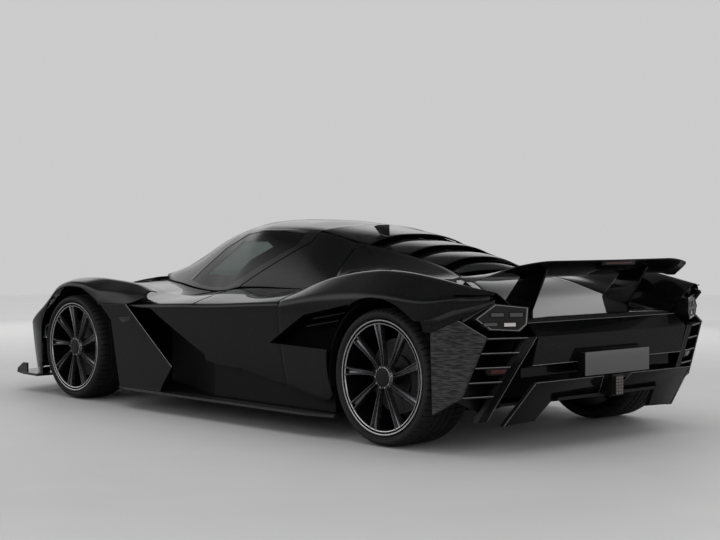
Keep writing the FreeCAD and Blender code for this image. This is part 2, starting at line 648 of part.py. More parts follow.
# Rear face, raked under the tail: (y, z) of its left half, with a recess inside its top and outer bands
FACE = [(626, 352), (682, 130), (467, 138), (418, 246)]
RECESS = [(600, 330), (662, 80)]
FACE_X = -2150.0
FACE_RAKE = 0.72
FACE_DEPTH = 24.0
RECESS_DEPTH = 12.0
SIDE_FIN = [(-2126, 352), (-1966, 130), (-1860, 112), (-1860, 150), (-1960, 300), (-2090, 352)]
SIDE_FIN_Y = 626.0
SIDE_FIN_LEAN = 0.252
INNER_FIN_Y = 418.0
INNER_FIN_TOP = 246.0
INNER_FIN_LEAN = 0.45
SIDE_FIN_THICK = 10.0
STRAKE = [(-1700, 170), (-2076, 240), (-2060, 176), (-1980, 132), (-1760, 126)]
STRAKE_YS = (-270, -135, 135, 270)
STRAKE_HALF = 4.0
LAMP_HOUSING = [(-2152, 352), (-2152, 244), (-2064, 244), (-2110, 352)]
HOUSING_Y = 44.0


def raked(outline, start, depth):
    """A symmetric rear-view outline on the raked face, from start to start + depth behind it."""
    left = [(mid(FACE_X + (FACE[0][1] - z) * FACE_RAKE) + start, y, z) for y, z in outline]
    return prism(left + [(x, -y, z) for x, y, z in reversed(left)], (depth, 0, 0))


ramp_sections = []
for dx, y, z in RAMP:
    ramp_sections.append([(mid(dx), -y, z), (mid(dx), y, z), (mid(dx), y, z + PANEL), (mid(dx), -y, z + PANEL)])
face = raked(FACE, 0, FACE_DEPTH).cut(raked(RECESS, -1, RECESS_DEPTH + 1))
fin_face = [(mid(dx), SIDE_FIN_Y + (FACE[0][1] - z) * SIDE_FIN_LEAN, z) for dx, z in SIDE_FIN]
side_fin = prism(fin_face, (0, -SIDE_FIN_THICK, 0))
inner_face = [(x, INNER_FIN_Y + (INNER_FIN_TOP - z) * INNER_FIN_LEAN, z) for x, y, z in fin_face if z < 246]
inner_fin = prism(inner_face, (0, SIDE_FIN_THICK, 0))
strakes = [side_prism(side_line(STRAKE), y - STRAKE_HALF, y + STRAKE_HALF) for y in STRAKE_YS]
housing = side_prism(side_line(LAMP_HOUSING), -HOUSING_Y, HOUSING_Y)
diffuser = joined([loft(ramp_sections), face, housing] + both(side_fin) + both(inner_fin) + strakes)
for grille in both(tail_corner):
    diffuser = diffuser.cut(grille)
parts["diffuser"] = largest(diffuser)
parts["rain_lamp"] = box(mid(-2165), mid(-2152) - SEAT_GAP, -30, 30, 250, 345)

# Wing. Columns: y, leading edge x and z, trailing edge x and z
WING = [
    (0, -1735, 846, -2165, 931),
    (458, -1748, 848, -2122, 931),
    (686, -1790, 850, -2079, 908),
    (812, -1818, 852, -1918, 834),
]
WING_EDGE = 9.0
WING_NOSE = 7.0
WING_BELLY_X = 0.4
WING_BELLY_Z = 0.25
WING_ABOVE = 4.0
WING_BELOW = 24.0
wing_sections = []
for y, x0, z0, x1, z1 in WING:
    belly_x = mid(x0 + WING_BELLY_X * (x1 - x0))
    belly_z = z0 + WING_BELLY_Z * (z1 - z0)
    top = [(mid(x0), y, z0), (belly_x, y, belly_z + WING_ABOVE), (mid(x1), y, z1)]
    under = [(mid(x1), y, z1 - WING_EDGE), (belly_x, y, belly_z - WING_BELOW), (mid(x0), y, z0 - WING_NOSE)]
    wing_sections.append(top + under)
wing = joined(both(loft(wing_sections)))
parts["rear_wing"] = wing

# Wing pylons, leaning out and back from the deck
PYLON = [(-1739, 712), (-1912, 660), (-2040, 890), (-1868, 862)]
PYLON_Y = 384.0
PYLON_LEAN = 0.08
PYLON_THICK = 18.0
pylon_face = [(mid(dx), PYLON_Y + (z - PYLON[0][1]) * PYLON_LEAN, z) for dx, z in PYLON]
pylon = prism(pylon_face, (0, PYLON_THICK, 0)).cut(wing).cut(deck)
parts["wing_pylons"] = pair(largest(pylon))

# Seats and dashboard
SEAT = [
    (470, CABIN_FLOOR_Z + SEAT_GAP), (480, 300), (60, 262), (-230, 800),
    (-330, 800), (-330, 700), (-60, CABIN_FLOOR_Z + SEAT_GAP),
]
DASH = [(620, 560), (600, 700), (800, 722), (830, 640), (780, 560)]
parts["seats"] = pair(side_prism(side_line(SEAT), *SEAT_Y))
dashboard = side_prism(side_line(DASH), -WIDE, WIDE).common(plan_prism(plan_line(CABIN), 0, HIGH))
parts["dashboard"] = dashboard

# Steering wheel on its column
STEERING_RAKE = 20.0
STEERING_R = 150.0
STEERING_GRIP_R = 14.0
BOSS_R = 34.0
COLUMN_R = 20.0
COLUMN_LENGTH = 185.0
steering_axis = Vector(-cos(radians(STEERING_RAKE)), 0, sin(radians(STEERING_RAKE)))
centre = Vector(mid(470), STEERING_Y, 640)
ring = Part.makeTorus(STEERING_R, STEERING_GRIP_R, centre, steering_axis)
boss = Part.makeCylinder(BOSS_R, 30, centre - steering_axis * 15, steering_axis)
reach = STEERING_R - 5
bar = box(centre.x - 8, centre.x + 8, STEERING_Y - reach, STEERING_Y + reach, centre.z - 12, centre.z + 12)
bar.rotate(centre, Vector(0, 1, 0), -STEERING_RAKE)
column = Part.makeCylinder(COLUMN_R, COLUMN_LENGTH - 10, centre - steering_axis * COLUMN_LENGTH, steering_axis)
parts["steering_wheel"] = largest(joined([ring, boss, bar, column]).cut(dashboard))

# Engine and gearbox as one plain block
ENGINE_Y = 270.0
ENGINE = [(-565, TUB_FLOOR_Z), (-1240, TUB_FLOOR_Z), (-1620, 205), (-1620, 640), (-565, 640)]
engine = side_prism(side_line(ENGINE), -ENGINE_Y, ENGINE_Y)
parts["engine_block"] = engine

# Tyre and rim profiles
BEAD_DEPTH = 14.0
BEAD_IN = 22.0
CAP_Y = 20.0


def make_tyre(x, radius, rim_r, width, face_y):
    """A hollow tyre: outside from bead to tread, then back along the inside."""
    h = width / 2
    seat = rim_r - BEAD_DEPTH
    outside = [
        (seat, -h + BEAD_IN + SEAT_GAP), (rim_r + 2, -h + BEAD_IN + SEAT_GAP), (rim_r + 6, -h + 5),
        (radius - 34, -h), (radius - 12, -h + 14), (radius, -h + 44),
    ]
    inside = [(seat, h - 42), (radius - 30, h - 16), (radius - 16, h - 50)]
    profile = outside + [(r, -y) for r, y in reversed(outside)]
    profile += inside + [(r, -y) for r, y in reversed(inside)]
    return revolved([(r, face_y - h + y) for r, y in profile], x, radius)


# Spoke outline in the wheel's plane. Columns: share of the reach, sweep in degrees, half width
SPOKE = [
    (0.19, 0.0, 17.0),
    (0.58, 4.5, 14.0),
    (1.0, 7.0, 17.0),
]
SPOKE_DEPTH = (46.0, 24.0)
# Each spoke carries two ribs on its front
RIB_OFFSET = 10.0
RIB_HALF = 4.5
RIB_DEPTH = (30.0, 13.0)
RIB = [(share, sweep, RIB_HALF) for share, sweep, half in SPOKE]


def spoke_bar(x, z, reach, rows, offset, y0, y1):
    """A bar that sweeps outwards in the wheel's plane, at an even offset from the spoke's middle line."""
    near, far = [], []
    for share, sweep, half in rows:
        out_x, out_z = sin(radians(sweep)), cos(radians(sweep))
        for edge, side in ((near, offset - half), (far, offset + half)):
            edge.append((x + out_x * share * reach + out_z * side, z + out_z * share * reach - out_x * side))
    return side_prism(near + far[::-1], y0, y1)


def make_rim(x, z, rim_r, width, face_y):
    """Barrel, spokes, hub with centre lock, and the brake disc that turns with them."""
    inner = face_y - width
    seat = rim_r - BEAD_DEPTH - SEAT_GAP
    barrel = [
        (seat, inner + 22), (rim_r, inner + 22), (rim_r, inner + 10), (seat - 8, inner + 10),
        (seat - 20, inner + 60), (seat - 20, face_y - 50), (seat - 8, face_y - 10), (rim_r, face_y - 8),
        (rim_r, face_y - 21.7), (seat, face_y - 21.7),
    ]
    reach = seat - 6
    spoke = [spoke_bar(x, z, reach, SPOKE, 0.0, face_y - SPOKE_DEPTH[0], face_y - SPOKE_DEPTH[1])]
    for offset in (-RIB_OFFSET, RIB_OFFSET):
        spoke.append(spoke_bar(x, z, reach, RIB, offset, face_y - RIB_DEPTH[0], face_y - RIB_DEPTH[1]))
    spoke = joined(spoke)
    pieces = [revolved(barrel, x, z), cylinder_y(x, face_y - 62, face_y - CAP_Y, z, HUB_R)]
    for k in range(SPOKES):
        turned = spoke.copy()
        turned.rotate(Vector(x, 0, z), Vector(0, 1, 0), 360.0 * k / SPOKES)
        pieces.append(turned)
    pieces.append(cylinder_y(x, DISC_Y - DISC_THICK / 2, face_y - 40, z, 48))
    pieces.append(cylinder_y(x, DISC_Y - DISC_THICK / 2, DISC_Y + DISC_THICK / 2, z, DISC_R))
    return joined(pieces).cut(cylinder_y(x, DISC_Y - 100, DISC_Y + 20, z, 30))


# Columns: name, axle x, tyre radius, rim radius, tyre width, outer face y
AXLES = [
    ("front", FRONT_AXLE_X, FRONT_TYRE_R, FRONT_RIM_R, FRONT_TYRE_W, FRONT_FACE_Y),
    ("rear", REAR_AXLE_X, REAR_TYRE_R, REAR_RIM_R, REAR_TYRE_W, REAR_FACE_Y),
]
for name, x, radius, rim_r, width, face_y in AXLES:
    tyre = make_tyre(x, radius, rim_r, width, face_y)
    rim = make_rim(x, radius, rim_r, width, face_y)
    parts["tyre_" + name + "_left"] = tyre
    parts["tyre_" + name + "_right"] = mirrored(tyre)
    parts["rim_" + name + "_left"] = rim
    parts["rim_" + name + "_right"] = mirrored(rim)

# Uprights with spindle and caliper
KINGPIN_Y = 782.0
UPRIGHT_HALF = 120.0
SPINDLE_R = 29.7
# Upright and caliper as boxes round the axle. Columns: x range, y range, half height
UPRIGHT_BOXES = [
    (-38, 38, 742, 792, UPRIGHT_HALF),
    (-DISC_R - 15, -DISC_R + 70, 782, 798, 60),
    (-DISC_R - 15, -DISC_R + 70, 846, 862, 60),
    (-DISC_R - 32, -DISC_R - 7, 782, 862, 60),
    (-DISC_R + 30, -20, 770, 790, 40),
]


def upright(x, z):
    pieces = [cylinder_y(x, 740, DISC_Y + 14, z, SPINDLE_R)]
    for x0, x1, y0, y1, half in UPRIGHT_BOXES:
        pieces.append(box(x + x0, x + x1, y0, y1, z - half, z + half))
    return joined(pieces)


knuckle = upright(FRONT_AXLE_X, FRONT_TYRE_R)
parts["knuckle_left"] = knuckle
parts["knuckle_right"] = mirrored(knuckle)

# Wishbones. Columns: above or below the upright, rise of the inner ends
ARM_LEVELS = [(-1, 10.0), (1, -20.0)]
ARM_SPREAD = 150.0
ARM_R = 11.0
BALL_R = 18.0
BALL_HEIGHT = 29.5
BALL_RISE = UPRIGHT_HALF + 15.0
DRIVESHAFT_R = 17.0
INTO_BODY = 10.0


def wishbone(x, z, inner_y, level, rise):
    """Two tubes spread from a ball joint above or below the upright to the car's middle."""
    ball_z = z + level * BALL_RISE
    legs = []
    for sign in (-1, 1):
        legs.append(tube((x, KINGPIN_Y, ball_z), (x + sign * ARM_SPREAD, inner_y, ball_z + rise), ARM_R))
    ball = Part.makeCylinder(BALL_R, BALL_HEIGHT, Vector(x, KINGPIN_Y, ball_z - BALL_HEIGHT / 2 + 0.25))
    return joined(legs + [ball])


tub_nose = box(mid(1000), mid(1700), -TUB_NOSE_Y, TUB_NOSE_Y, 0, HIGH)
front_arms = []
rear_pieces = [upright(REAR_AXLE_X, REAR_TYRE_R)]
for level, rise in ARM_LEVELS:
    arm = wishbone(FRONT_AXLE_X, FRONT_TYRE_R, TUB_NOSE_Y - INTO_BODY, level, rise)
    front_arms += both(arm.cut(tub_nose))
    rear_pieces.append(wishbone(REAR_AXLE_X, REAR_TYRE_R, ENGINE_Y - INTO_BODY, level, rise))
    stud_z = REAR_TYRE_R + level * (UPRIGHT_HALF + 5) - 10
    rear_pieces.append(Part.makeCylinder(14, 20, Vector(REAR_AXLE_X, KINGPIN_Y, stud_z)))
rear_pieces.append(cylinder_y(REAR_AXLE_X, ENGINE_Y - INTO_BODY, 745, REAR_TYRE_R, DRIVESHAFT_R))
parts["front_suspension"] = Part.makeCompound(front_arms)
parts["rear_suspension"] = pair(joined(rear_pieces).cut(engine))

os.makedirs("parts", exist_ok=True)
for name, shape in parts.items():
    print(name, shape.isValid(), len(shape.Solids), round(shape.Volume / 1e6, 2))
    shape.exportStep("parts/" + name + ".step")
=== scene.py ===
# %% [markdown]
# A low two-seat hypercar in gloss black over twill carbon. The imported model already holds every
# piece at its real size, so it is loaded first as a fixed frame. Everything made below is dressed
# on to that frame: smooth body panels over the plain CAD ones, wheels with real tread, glass,
# lamps and trim. Lengths are written in millimetres and turned into Blender's metres once.

# %% Load the frame
import bpy
import bmesh
import json
import numpy as np
from math import cos, pi, radians, sin, sqrt
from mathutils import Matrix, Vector


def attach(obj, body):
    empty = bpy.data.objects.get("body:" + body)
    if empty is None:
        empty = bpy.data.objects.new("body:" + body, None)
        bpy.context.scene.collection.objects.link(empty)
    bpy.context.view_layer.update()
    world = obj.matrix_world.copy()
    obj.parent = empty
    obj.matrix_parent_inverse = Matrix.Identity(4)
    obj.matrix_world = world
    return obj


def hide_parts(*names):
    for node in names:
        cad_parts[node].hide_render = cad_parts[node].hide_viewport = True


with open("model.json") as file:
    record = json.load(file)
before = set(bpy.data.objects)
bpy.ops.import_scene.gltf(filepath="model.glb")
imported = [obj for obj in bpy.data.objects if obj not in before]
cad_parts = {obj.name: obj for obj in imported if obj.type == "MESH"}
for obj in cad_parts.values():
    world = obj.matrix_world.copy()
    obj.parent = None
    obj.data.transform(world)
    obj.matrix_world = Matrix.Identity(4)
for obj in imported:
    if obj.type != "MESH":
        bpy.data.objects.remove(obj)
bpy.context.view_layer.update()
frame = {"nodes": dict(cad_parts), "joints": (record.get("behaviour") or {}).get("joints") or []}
MM = 0.001
SIDES = {"left": 1, "right": -1}

# %% [markdown]
# The frame's own joints say where the axles are. The middle of the wheelbase is the place that
# the drawings measure from, so one value, MID, turns those places into the model's X.

# %% Places taken from the joints
joint_place = {joint["name"]: Vector(joint["pos_m"]) for joint in frame["joints"]}
FRONT_AXLE = joint_place["spin_front_left"] / MM
REAR_AXLE = joint_place["spin_rear_left"] / MM
MID = (FRONT_AXLE.x + REAR_AXLE.x) / 2
print("wheelbase:", round(FRONT_AXLE.x - REAR_AXLE.x), "mm, middle of it at", round(MID))

# %% [markdown]
# Shader maths reads best as plain arithmetic. This small class wraps one socket of a material
# and turns + - * / and comparisons into Math nodes, whichever side the number stands on.

# %% Signals: sockets that can be calculated with
class Signal:
    """One value that varies over a surface: the output socket of a shader node."""

    def __init__(self, bench, socket):
        self.bench = bench
        self.socket = socket

    def maths(self, operation, *values):
        return self.bench.node("ShaderNodeMath", {"operation": operation}, dict(enumerate(values)))

    def __add__(self, other):
        return self.maths("ADD", self, other)

    def __radd__(self, other):
        return self.maths("ADD", other, self)

    def __sub__(self, other):
        return self.maths("SUBTRACT", self, other)

    def __rsub__(self, other):
        return self.maths("SUBTRACT", other, self)

    def __mul__(self, other):
        return self.maths("MULTIPLY", self, other)

    def __rmul__(self, other):
        return self.maths("MULTIPLY", other, self)

    def __truediv__(self, other):
        return self.maths("DIVIDE", self, other)

    def __mod__(self, other):
        return self.maths("FLOORED_MODULO", self, other)

    def __pow__(self, other):
        return self.maths("POWER", self, other)

    def __lt__(self, other):
        return self.maths("LESS_THAN", self, other)

    def __gt__(self, other):
        return self.maths("GREATER_THAN", self, other)

    def floor(self):
        return self.maths("FLOOR", self)

    def fraction(self):
        return self.maths("FRACT", self)

    def sine(self):
        return self.maths("SINE", self)

    def size(self):
        return self.maths("ABSOLUTE", self)

    def held(self, low, high):
        return self.maths("MINIMUM", self.maths("MAXIMUM", self, low), high)


# %% [markdown]
# A material and the world are both trees of nodes, and one method adds to either. It takes the
# node's type, its settings, such as a ramp's stops, and the values or signals that go into its
# sockets. It gives back one of the node's outputs as a signal, ready for more arithmetic.

# %% Bench: the one method that adds nodes
class Bench:
    """A node tree and the one method that adds to it."""

    def __init__(self, tree):
        self.tree = tree

    def node(self, kind, settings=None, inputs=None, output=0):
        made = self.tree.nodes.new(kind)
        for name, value in (settings or {}).items():
            if name == "stops":
                ramp = made.color_ramp
                while len(ramp.elements) < len(value):
                    ramp.elements.new(0.5)
                for element, (place, colour) in zip(ramp.elements, value):
                    element.position = place
                    element.color = colour
            else:
                setattr(made, name, value)
        for name, value in (inputs or {}).items():
            if isinstance(value, Signal):
                self.tree.links.new(value.socket, made.inputs[name])
            else:
                made.inputs[name].default_value = value
        return Signal(self, made.outputs[output])

    def parts_of(self, vector):
        """A vector's x, y and z, as three signals."""
        split = self.node("ShaderNodeSeparateXYZ", {}, {0: vector}).socket.node
        return [Signal(self, output) for output in split.outputs]


def grey(level, tint=0.0):
    """A neutral colour, a little bluer with tint."""
    return (level, level, level * (1 + tint), 1.0)


# %% [markdown]
# A finish is one material, such as paint or rubber. It starts as a Principled surface whose even
# values are set straight on its sockets. What varies over the piece, such as a weave or a scuff,
# is fed in afterwards, so each finish reads as a short recipe.

# %% Finishes: materials built from signals
class Finish(Bench):
    """A procedural material with a Principled surface."""

    def __init__(self, name, **even):
        self.material = bpy.data.materials.new(name)
        self.material.use_nodes = True
        super().__init__(self.material.node_tree)
        self.surface = self.tree.nodes["Principled BSDF"]
        for socket, value in even.items():
            self.surface.inputs[socket.replace("_", " ")].default_value = value

    def place(self):
        """The point on the object, in metres, as a vector signal."""
        return self.node("ShaderNodeTexCoord", output="Object")

    def noise(self, scale, detail=2.0, roughness=0.5):
        sizes = {"Vector": self.place(), "Scale": scale, "Detail": detail, "Roughness": roughness}
        return self.node("ShaderNodeTexNoise", {}, sizes)

    def mix(self, factor, low, high):
        """A colour between low and high."""
        return self.node("ShaderNodeMix", {"data_type": "RGBA"}, {0: factor, 6: low, 7: high}, 2)

    def feed(self, socket, signal):
        self.tree.links.new(signal.socket, self.surface.inputs[socket])

    def mottled(self, scale, low, high, detail=2.0):
        """Base colour that wanders a little between two greys, as no real surface is quite even."""
        self.feed("Base Color", self.mix(self.noise(scale, detail), low, high))

    def bump(self, height, strength, distance):
        heights = {"Height": height, "Strength": strength, "Distance": distance}
        self.feed("Normal", self.node("ShaderNodeBump", {}, heights))


print("a middle grey:", grey(0.5))


# %% [markdown]
# Gloss black paint is a dark base under a clear coat. Up close the base holds fine flake, which
# catches the light as pinpoints, and these glints are painted in. The flake could be bumps, but coloured cells cost
# less to render
# and do not sparkle with noise: one cell in about seventy is painted lighter than the rest, as a glint.

# %% Black paint
FLAKES_A_METRE = 420.0
FLAKE_GAPS = 0.985
paint = Finish("black_paint", Roughness=0.45, Specular_IOR_Level=0.1,
               Coat_Weight=1.0, Coat_Roughness=0.015, Coat_IOR=1.38)
flake_cells = paint.node("ShaderNodeTexVoronoi", {}, {"Vector": paint.place(), "Scale": FLAKES_A_METRE}, "Color")
# painted glints: about one cell in seventy is coloured lighter, standing in for light caught by the flake
flake_glint = paint.parts_of(flake_cells)[0] > FLAKE_GAPS
paint.feed("Base Color", paint.mix(flake_glint, (0.0022, 0.0023, 0.0028, 1), (0.03, 0.033, 0.04, 1)))
print("flake shows on", round((1 - FLAKE_GAPS) * 100, 1), "% of the paint")

# %% [markdown]
# Twill carbon is woven from flat tows that pass over two and under two, and each row steps
# along by one, which draws the diagonal lines. The pattern is laid on from the side where a
# panel stands upright and from above where it lies flat. Warp and weft differ in brightness
# because their fibres run across each other and catch the light differently. That sheen is painted: each is given its
# own grey and its own swell, and each tow is painted lighter along its crown and darker at its edges.

# %% Twill carbon
TOW = 4.5 * MM


def woven(name, tow, dark, light, coat):
    """Twill of tows of one width under a clear coat, its painted sheen and shade in two greys."""
    finish = Finish(name, Roughness=0.42, Specular_IOR_Level=0.3,
                    Coat_Weight=coat, Coat_Roughness=0.04, Coat_IOR=1.38)
    x, y, z = finish.parts_of(finish.place())
    facing = finish.parts_of(finish.node("ShaderNodeNewGeometry", output="True Normal"))
    flat = facing[2].size() > 0.6
    across = facing[0].size() > 0.75
    u = (x + across * (y - x)) / tow
    v = (z + flat * (y - z)) / tow
    over = ((u.floor() + v.floor()) % 4) < 1.5
    swell_u = (u.fraction() * pi).sine()
    swell_v = (v.fraction() * pi).sine()
    height = swell_v + over * (swell_u - swell_v)
    # painted sheen and shade: each tow lighter on its crown and darker at its edges, and the tows on top lighter than
    # those beneath
    tow_sheen_and_shade = (height ** 0.7) * (0.45 + over * 0.55)
    finish.feed("Base Color", finish.mix(tow_sheen_and_shade, dark, light))
    finish.bump(height, 0.35, tow * 0.15)
    return finish


carbon = woven("twill_carbon", TOW, grey(0.003), grey(0.045, 0.03), 1.0)
carbon_satin = woven("satin_carbon", TOW, grey(0.003), grey(0.03), 0.25)
print("tows are", round(TOW / MM, 1), "mm wide")

# %% [markdown]
# The panels at the tail's corners show their cloth as fine level rows, not as a twill. Rows could
# be modelled as ridges, but they are finer than any mesh. A noise that is stretched along the
# panel and squeezed from top to bottom gives such streaks, and lifts them a little.

# %% Row carbon
row_carbon = Finish("row_carbon", Roughness=0.4, Specular_IOR_Level=0.3,
                    Coat_Weight=1.0, Coat_Roughness=0.05, Coat_IOR=1.38)
ROW_STRETCH = (22.0, 22.0, 210.0)
rows_along = row_carbon.node("ShaderNodeMapping", {}, {"Vector": row_carbon.place(), "Scale": ROW_STRETCH})
streaks = row_carbon.node("ShaderNodeTexNoise", {}, {"Vector": rows_along, "Scale": 1.0, "Detail": 4.0})
streaks = ((streaks - 0.38) * 4.5).held(0.0, 1.0)
row_carbon.feed("Base Color", row_carbon.mix(streaks, grey(0.004), grey(0.055)))
row_carbon.bump(streaks, 0.2, 0.6 * MM)
print("rows are about", round(1000 / ROW_STRETCH[2], 1), "mm apart")

# %% [markdown]
# Ducts, liners and trays are black plastic. Three kinds are enough: grained for what a hand may
# touch, satin for slats and frames, and one matt and darker still, painted shade for the depth of an opening.

# %% Plastics
plastic = Finish("grained_plastic", Roughness=0.55, Specular_IOR_Level=0.25)
grain = plastic.noise(1400.0, 3.0)
plastic.feed("Base Color", plastic.mix(grain, grey(0.003), grey(0.008)))
plastic.bump(grain, 0.25, 0.15 * MM)

satin = Finish("satin_black", Roughness=0.35, Specular_IOR_Level=0.25, Coat_Weight=0.3, Coat_Roughness=0.15)
satin.mottled(60.0, grey(0.004), grey(0.008), 4.0)

# black plastic made darker than the others: painted shade for deep openings
duct_and_shade = Finish("duct_black", Roughness=0.85, Specular_IOR_Level=0.1)
duct_and_shade.mottled(200.0, grey(0.001), grey(0.003), 3.0)
print("plastics:", plastic.material.name, satin.material.name, duct_and_shade.material.name)

# %% [markdown]
# The screen is tinted and darker still above the driver's eyes. A side window has a clear middle
# and a black printed border. Real refraction in such thin panes would only slow the render, so
# the panes let light through by their alpha, which also survives the export.

# %% Glass
glass = Finish("tinted_glass", Roughness=0.01, IOR=1.45, Alpha=0.8, Coat_Weight=0.4, Coat_Roughness=0.01)
SHADE_BAND_FROM = 1.02
height_over_floor = glass.parts_of(glass.place())[2]
band = ((height_over_floor - SHADE_BAND_FROM) * 14.0).held(0.0, 1.0)
glass.feed("Base Color", glass.mix(band, (0.012, 0.016, 0.016, 1), grey(0.003)))

clear_glass = Finish("clear_glass", Roughness=0.01, IOR=1.4, Alpha=0.24)
greenish = clear_glass.noise(2.0, 1.0)
clear_glass.feed("Base Color", clear_glass.mix(greenish, (0.20, 0.26, 0.24, 1), (0.26, 0.32, 0.30, 1)))

black_glass = Finish("printed_glass", Roughness=0.05, IOR=1.33)
black_glass.mottled(30.0, grey(0.003), grey(0.006))
print("clear part lets through", round(1 - clear_glass.surface.inputs["Alpha"].default_value, 2))

# %% [markdown]
# The lamps are off in daylight, so their lenses look smoked or dull red. Fine ribs moulded inside
# a lens scatter the light, and the light they catch is painted: a sine of the place across the car
# draws lighter and darker stripes without any mesh. Only the inner bar of each tail lamp glows faintly.

# %% Lamp lenses
red_lens = Finish("red_lens", Roughness=0.12, IOR=1.5, Coat_Weight=1.0, Coat_Roughness=0.02)
# painted highlights: the lens ribs drawn as lighter and darker red stripes
rib_glints = (red_lens.parts_of(red_lens.place())[1] * 900.0).sine()
red_lens.feed("Base Color", red_lens.mix(rib_glints * 0.5 + 0.5, (0.03, 0.003, 0.004, 1), (0.14, 0.009, 0.012, 1)))

smoked = Finish("smoked_lens", Roughness=0.06, IOR=1.5, Coat_Weight=1.0, Coat_Roughness=0.02)
smoked.mottled(40.0, grey(0.006), grey(0.014))

lamp_bar = Finish("lamp_bar", Roughness=0.18, Metallic=0.2, Coat_Weight=1.0)
# painted highlights: the bar's moulded ribs drawn as lighter and darker stripes
ribs = (lamp_bar.parts_of(lamp_bar.place())[1] * 1500.0).sine() * 0.5 + 0.5
lamp_bar.feed("Base Color", lamp_bar.mix(ribs, (0.05, 0.048, 0.048, 1), (0.17, 0.16, 0.16, 1)))

red_bright = Finish("red_cells", Roughness=0.2, Coat_Weight=1.0)
red_bright.mottled(500.0, (0.10, 0.07, 0.07, 1), (0.20, 0.17, 0.17, 1))

lamp_bright = Finish("lamp_bright", Roughness=0.2, Coat_Weight=1.0, Emission_Strength=0.25)
glow = lamp_bright.mix(lamp_bright.noise(200.0), (0.42, 0.38, 0.38, 1), (0.62, 0.58, 0.58, 1))
lamp_bright.feed("Base Color", glow)
lamp_bright.feed("Emission Color", glow)
print("lamp finishes: 5")

# %% [markdown]
# Two finishes are left for trim. The folded edges of the tail catch the light as fine pale lines,
# and these are painted highlights: thin pieces in a bright polished finish. The seats are suede, whose
# nap is soft and uneven: a sheen lightens it where it is seen at a flat angle, and a fine noise roughens it.

# %% Painted edge highlights and suede
highlight_finish = Finish("edge_line", Roughness=0.25, Metallic=0.6, Coat_Weight=1.0)
highlight_finish.mottled(40.0, grey(0.30), grey(0.45))

suede = Finish("suede", Roughness=0.9, Sheen_Weight=0.4)
nap = suede.noise(900.0, 4.0)
suede.feed("Base Color", suede.mix(nap, grey(0.012), grey(0.035)))
suede.bump(nap, 0.3, 0.3 * MM)
print("trim:", highlight_finish.material.name, suede.material.name)

# %% [markdown]
# The rims are dark forged metal with a bright turned lip, and the discs are grey iron. Tyre rubber
# is nearly black, matt and faintly dusty. A metal's look is in its gloss more than in its colour,
# so the noise also goes into the roughness and breaks up the highlights.

# %% Metals and rubber
gunmetal = Finish("gunmetal", Metallic=0.95, Roughness=0.25)
patch = gunmetal.noise(35.0, 4.0)
gunmetal.feed("Base Color", gunmetal.mix(patch, grey(0.20, 0.04), grey(0.34, 0.04)))
gunmetal.feed("Roughness", 0.22 + patch * 0.1)

lip_metal = Finish("machined_lip", Metallic=1.0, Roughness=0.25)
lip_metal.mottled(80.0, grey(0.70), grey(0.85))

steel = Finish("turned_steel", Metallic=1.0, Roughness=0.35)
fine = steel.noise(420.0, 2.0)
steel.feed("Base Color", steel.mix(fine, grey(0.07), grey(0.13)))
steel.feed("Roughness", 0.3 + fine * 0.2)

iron = Finish("cast_iron", Metallic=0.6, Roughness=0.6)
cast = iron.noise(260.0, 5.0)
iron.feed("Base Color", iron.mix(cast, grey(0.03), grey(0.09)))
iron.bump(cast, 0.4, 0.5 * MM)

caliper_finish = Finish("caliper_black", Roughness=0.3, Coat_Weight=0.8)
caliper_finish.mottled(90.0, grey(0.012), grey(0.03))

rubber = Finish("tyre_rubber", Roughness=0.62, IOR=1.45)
dust = rubber.noise(22.0, 6.0, 0.6)
pores = rubber.noise(1600.0, 2.0)
rubber.feed("Base Color", rubber.mix(dust, grey(0.008), grey(0.022)))
rubber.feed("Roughness", 0.5 + dust * 0.25)
rubber.bump(pores, 0.2, 0.2 * MM)

plate_finish = Finish("blank_plate", Roughness=0.35, Coat_Weight=0.4)
plate_finish.mottled(500.0, grey(0.10), grey(0.125))
print("finishes made:", len(bpy.data.materials))

# %% [markdown]
# Body panels are drawn the way a stylist tapes a clay model: a few stations along the car, each
# a short line across the panel, and smooth curves run through them. Corners in a station are
# rolled to a small radius and the runs between them are slightly crowned, as pressed panels are,
# so reflections flow instead of breaking at flat facets.

# %% Panel drawing
BEND = 22.0
BEND_STEPS = 5
RUN_STEPS = 4
STEP_ALONG = 22.0


def rolled(line, bend, crown):
    """A station's (y, z) points with rolled corners and crowned runs, always the same count."""
    points = [np.array(p, float) for p in line]
    ends = []
    for i in range(1, len(points) - 1):
        before, at, after = points[i - 1:i + 2]
        reach_in = min(bend, 0.42 * np.linalg.norm(before - at))
        reach_out = min(bend, 0.42 * np.linalg.norm(after - at))
        ends.append((at + (before - at) * reach_in / np.linalg.norm(before - at), at,
                     at + (after - at) * reach_out / np.linalg.norm(after - at)))
    starts = [points[0]] + [e[2] for e in ends]
    stops = [e[0] for e in ends] + [points[-1]]
    made = []
    for i, (start, stop) in enumerate(zip(starts, stops)):
        run = stop - start
        normal = np.array([-run[1], run[0]])
        for step in range(RUN_STEPS + 1):
            t = step / RUN_STEPS
            made.append(start + run * t + normal * crown * 4 * t * (1 - t))
        if i < len(ends):
            near, corner, far = ends[i]
            for step in range(1, BEND_STEPS):
                t = step / BEND_STEPS
                made.append((1 - t) ** 2 * near + 2 * t * (1 - t) * corner + t ** 2 * far)
    return np.array(made)


